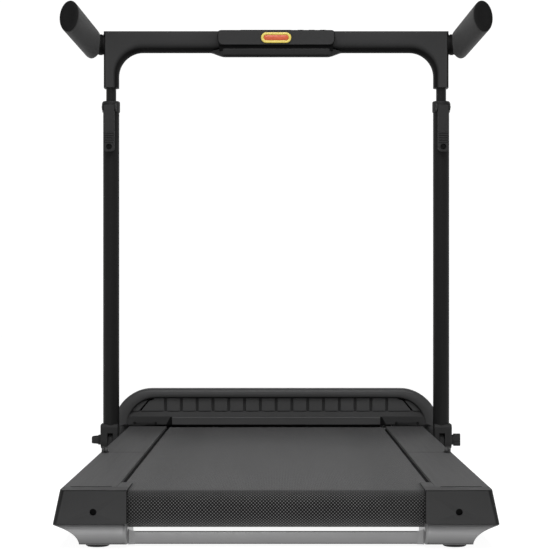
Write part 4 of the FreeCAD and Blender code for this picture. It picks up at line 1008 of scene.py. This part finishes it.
def build_console():
    """Face plate with round corners, sloping cover, recessed neck and the fairing below."""
    back, half, bottom = CONSOLE_BACK, CONSOLE_HALF + 0.002, 0.8398
    plate = rounded([(-half, bottom, 0.0115), (half, bottom, 0.0115), (half, CONSOLE_TOP, 0.006),
                     (-half, CONSOLE_TOP, 0.006)], 8)
    face = rounded_slab("y", plate, [0.0024] * len(plate), back, BAR_BACK)
    steady(piece("console_face", face, "handle_plastic", "handlebar", ["console_housing"], angle=50))
    behind, under, over = BAR_BACK + 0.0004, 0.86, arch_high[2] + 0.0003
    cover = [(back + 0.002, under), (back + 0.002, console_rise(back + 0.002)),
             (BAR_FRONT, console_rise(BAR_FRONT)), (BAR_FRONT, over), (behind, over), (behind, under)]
    piece("console_cover", prism("x", cover, 0.003 - CONSOLE_HALF, CONSOLE_HALF - 0.003), "handle_plastic",
          "handlebar", bevel=0.0015)
    neck_half = CONSOLE_HALF - 0.0015
    neck = slab((-neck_half, back + 0.006, BAR_UNDER), (neck_half, BAR_BACK + 0.001, 0.8435))
    piece("console_neck", neck, "shadow_plastic", "handlebar", bevel=0.0012)
    steps = 12
    taper = [BELLY_HALF + (console_high[0] - BELLY_HALF) * step / steps for step in range(steps + 1)]
    stations = [-across for across in reversed(taper)] + [-0.06, 0.0, 0.06] + taper
    belly = loft([belly_ring(across) for across in stations])
    steady(piece("console_belly", belly, "black_plastic", "handlebar", angle=50))


def racetrack_loft(half_width, half_height, middle, rings):
    """Skin over outlines with half-round ends; each ring is (how far inside the rim, its Y)."""
    reach = half_width - half_height
    layers = []
    for inset, station in rings:
        radius = half_height - inset
        outline = arc(reach, middle, radius, math.pi / 2, -math.pi / 2, 14)
        outline += arc(-reach, middle, radius, math.pi * 3 / 2, math.pi / 2, 14)
        layers.append([lift(point, "y", station) for point in outline])
    return loft(layers)


def build_key():
    """Safety key: yellow ring round a red pull plate, with its plug."""
    low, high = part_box("safety_key")
    size = (high[0], (high[2] - low[2]) / 2, (low[2] + high[2]) / 2)
    face = low[1]
    ring = racetrack_loft(*size, ((0.0, CONSOLE_BACK), (0.0, face + 0.001), (0.0012, face), (0.0038, face),
                                  (0.0048, face + 0.001), (0.0048, face + 0.0018)))
    piece("safety_key_ring", ring, "key_yellow", "safety_key", ["safety_key"], angle=50)
    plate = racetrack_loft(*size, ((0.0052, face + 0.003), (0.0052, face + 0.0012),
                                   (0.0060, face + 0.0006)))
    piece("safety_key_plate", plate, "key_red", "safety_key", angle=50)
    plug = slab((-0.01, CONSOLE_BACK, 0.85), (0.01, CONSOLE_BACK + 0.012, 0.859))
    piece("safety_key_plug", plug, "key_red", "safety_key", bevel=0.0008)


def build_console_top():
    """Gloss display window and three domed buttons on the sloping top."""
    low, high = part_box("display_window")
    outline = rounded([(low[0], 0.009, 0.005), (high[0], 0.009, 0.005), (high[0], 0.049, 0.005),
                       (low[0], 0.049, 0.005)])
    piece("console_display", on_slope(prism("z", outline, -0.0006, 0.0005)), "display_gloss", "handlebar",
          ["display_window"], bevel=0.0003)
    for name in ("button_slower", "button_start", "button_faster"):
        low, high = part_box(name)
        radius = (high[0] - low[0]) / 2
        cap = lathe("z", ((low[0] + high[0]) / 2, 0.01, 0), [
            (-0.003, radius - 0.0006), (-0.0024, radius), (-0.0003, radius), (0.0004, radius - 0.0008),
            (0.0006, radius - 0.0022), (0.0002, 0.002)], 40)
        piece(f"{name}_cap", on_slope(cap), "button_plastic", name, [name], angle=50)


# ---- CAD nodes kept

KEPT = {
    "rail_plastic": ["front_rail_left", "front_rail_right", "rear_rail_left", "rear_rail_right"],
    "frame_steel": ["chassis_side_beams", "chassis_cross_members", "rear_side_beams", "rear_cross_members",
                    "front_hinge_ears", "rear_hinge_ears", "motor_bracket", "wheel_brackets"],
    "deck_wood": ["front_deck_board", "rear_deck_board"],
    "foot_rubber": ["front_deck_cushions", "rear_deck_cushions", "motor_drive_belt"],
    "tyre_rubber": ["wheel_left", "wheel_right"],
    "roller_steel": ["front_roller", "rear_roller"],
    "bare_steel": ["front_roller_axle", "rear_roller_axle", "tension_bolts", "motor_rotor"],
    "motor_paint": ["motor_body"],
    "controller_plastic": ["motor_controller"],
    "black_plastic": ["power_inlet", "power_switch", "post_pivot_lugs"],
}


def keep_nodes():
    """Finish the CAD nodes that stay: welded seams, softened edges and a real material."""
    for material, names in KEPT.items():
        for name in names:
            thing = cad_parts[name]
            thing.data.materials.clear()
            thing.data.materials.append(MATERIALS[material])
            weld = thing.modifiers.new("weld", "WELD")
            weld.merge_threshold = 0.00002
            soften(thing, 0.0007, 2, 40)


# ---- stage

def build_stage():
    """Plain floor."""
    mesh = bmesh.new()
    bmesh.ops.create_grid(mesh, x_segments=2, y_segments=2, size=12)
    piece("studio_floor", mesh, "floor_pale")


def softbox(name, place, aim, size, power, height=None):
    """Rectangular lamp at a place, aimed at a point; square unless a height is given."""
    light = bpy.data.lights.new(name, "AREA")
    light.shape = "RECTANGLE"
    light.size = size
    light.size_y = height or size
    light.energy = power
    thing = shown(name, light)
    thing.location = place
    thing.rotation_euler = (Vector(aim) - Vector(place)).to_track_quat("-Z", "Y").to_euler()


def build_world():
    """Pale surroundings near the horizon and a dimmer ceiling, so that the lamps shape the object."""
    world = bpy.data.worlds.new("studio")
    nodes = Nodes(world)
    upward = nodes.part("Z", nodes.add("ShaderNodeTexCoord").outputs["Generated"])
    sky = nodes.mix(nodes.span(upward, 0.17, 0.42), WHITE, (0.12, 0.12, 0.125, 1))
    background = nodes.tree.nodes["Background"].inputs
    nodes.feed(background["Color"], sky)
    nodes.feed(background["Strength"], 1.05)
    bpy.context.scene.world = world


def build_camera():
    """Level camera behind the rear end, as far back as the view's perspective shows."""
    camera = bpy.data.cameras.new("view")
    camera.sensor_width = 36
    camera.lens = 119.0
    camera.shift_x = -0.0021
    camera.shift_y = 0.0327
    thing = shown("view", camera)
    thing.location = (0.0, REAR - 2.511, 0.3543)
    thing.rotation_euler = (math.radians(90), 0, 0)
    bpy.context.scene.camera = thing


build_camera()
build_world()
softbox("top_box", (0.0, REAR - 0.35, 2.1), (0, -0.3, 0), 1.5, 40)
softbox("front_box", (-0.35, REAR - 3.6, 1.0), (0, 0, 0.5), 0.45, 7, 1.6)
build_stage()
keep_nodes()
build_belt()
build_end_caps()
build_castings()
build_stand_bar()
build_feet()
build_hood()
build_vent()
build_hood_trim()
build_posts()
build_clamps()
build_knobs()
build_arch()
build_grips()
build_console()
build_key()
build_console_top()

bpy.context.scene.view_settings.view_transform = "Standard"
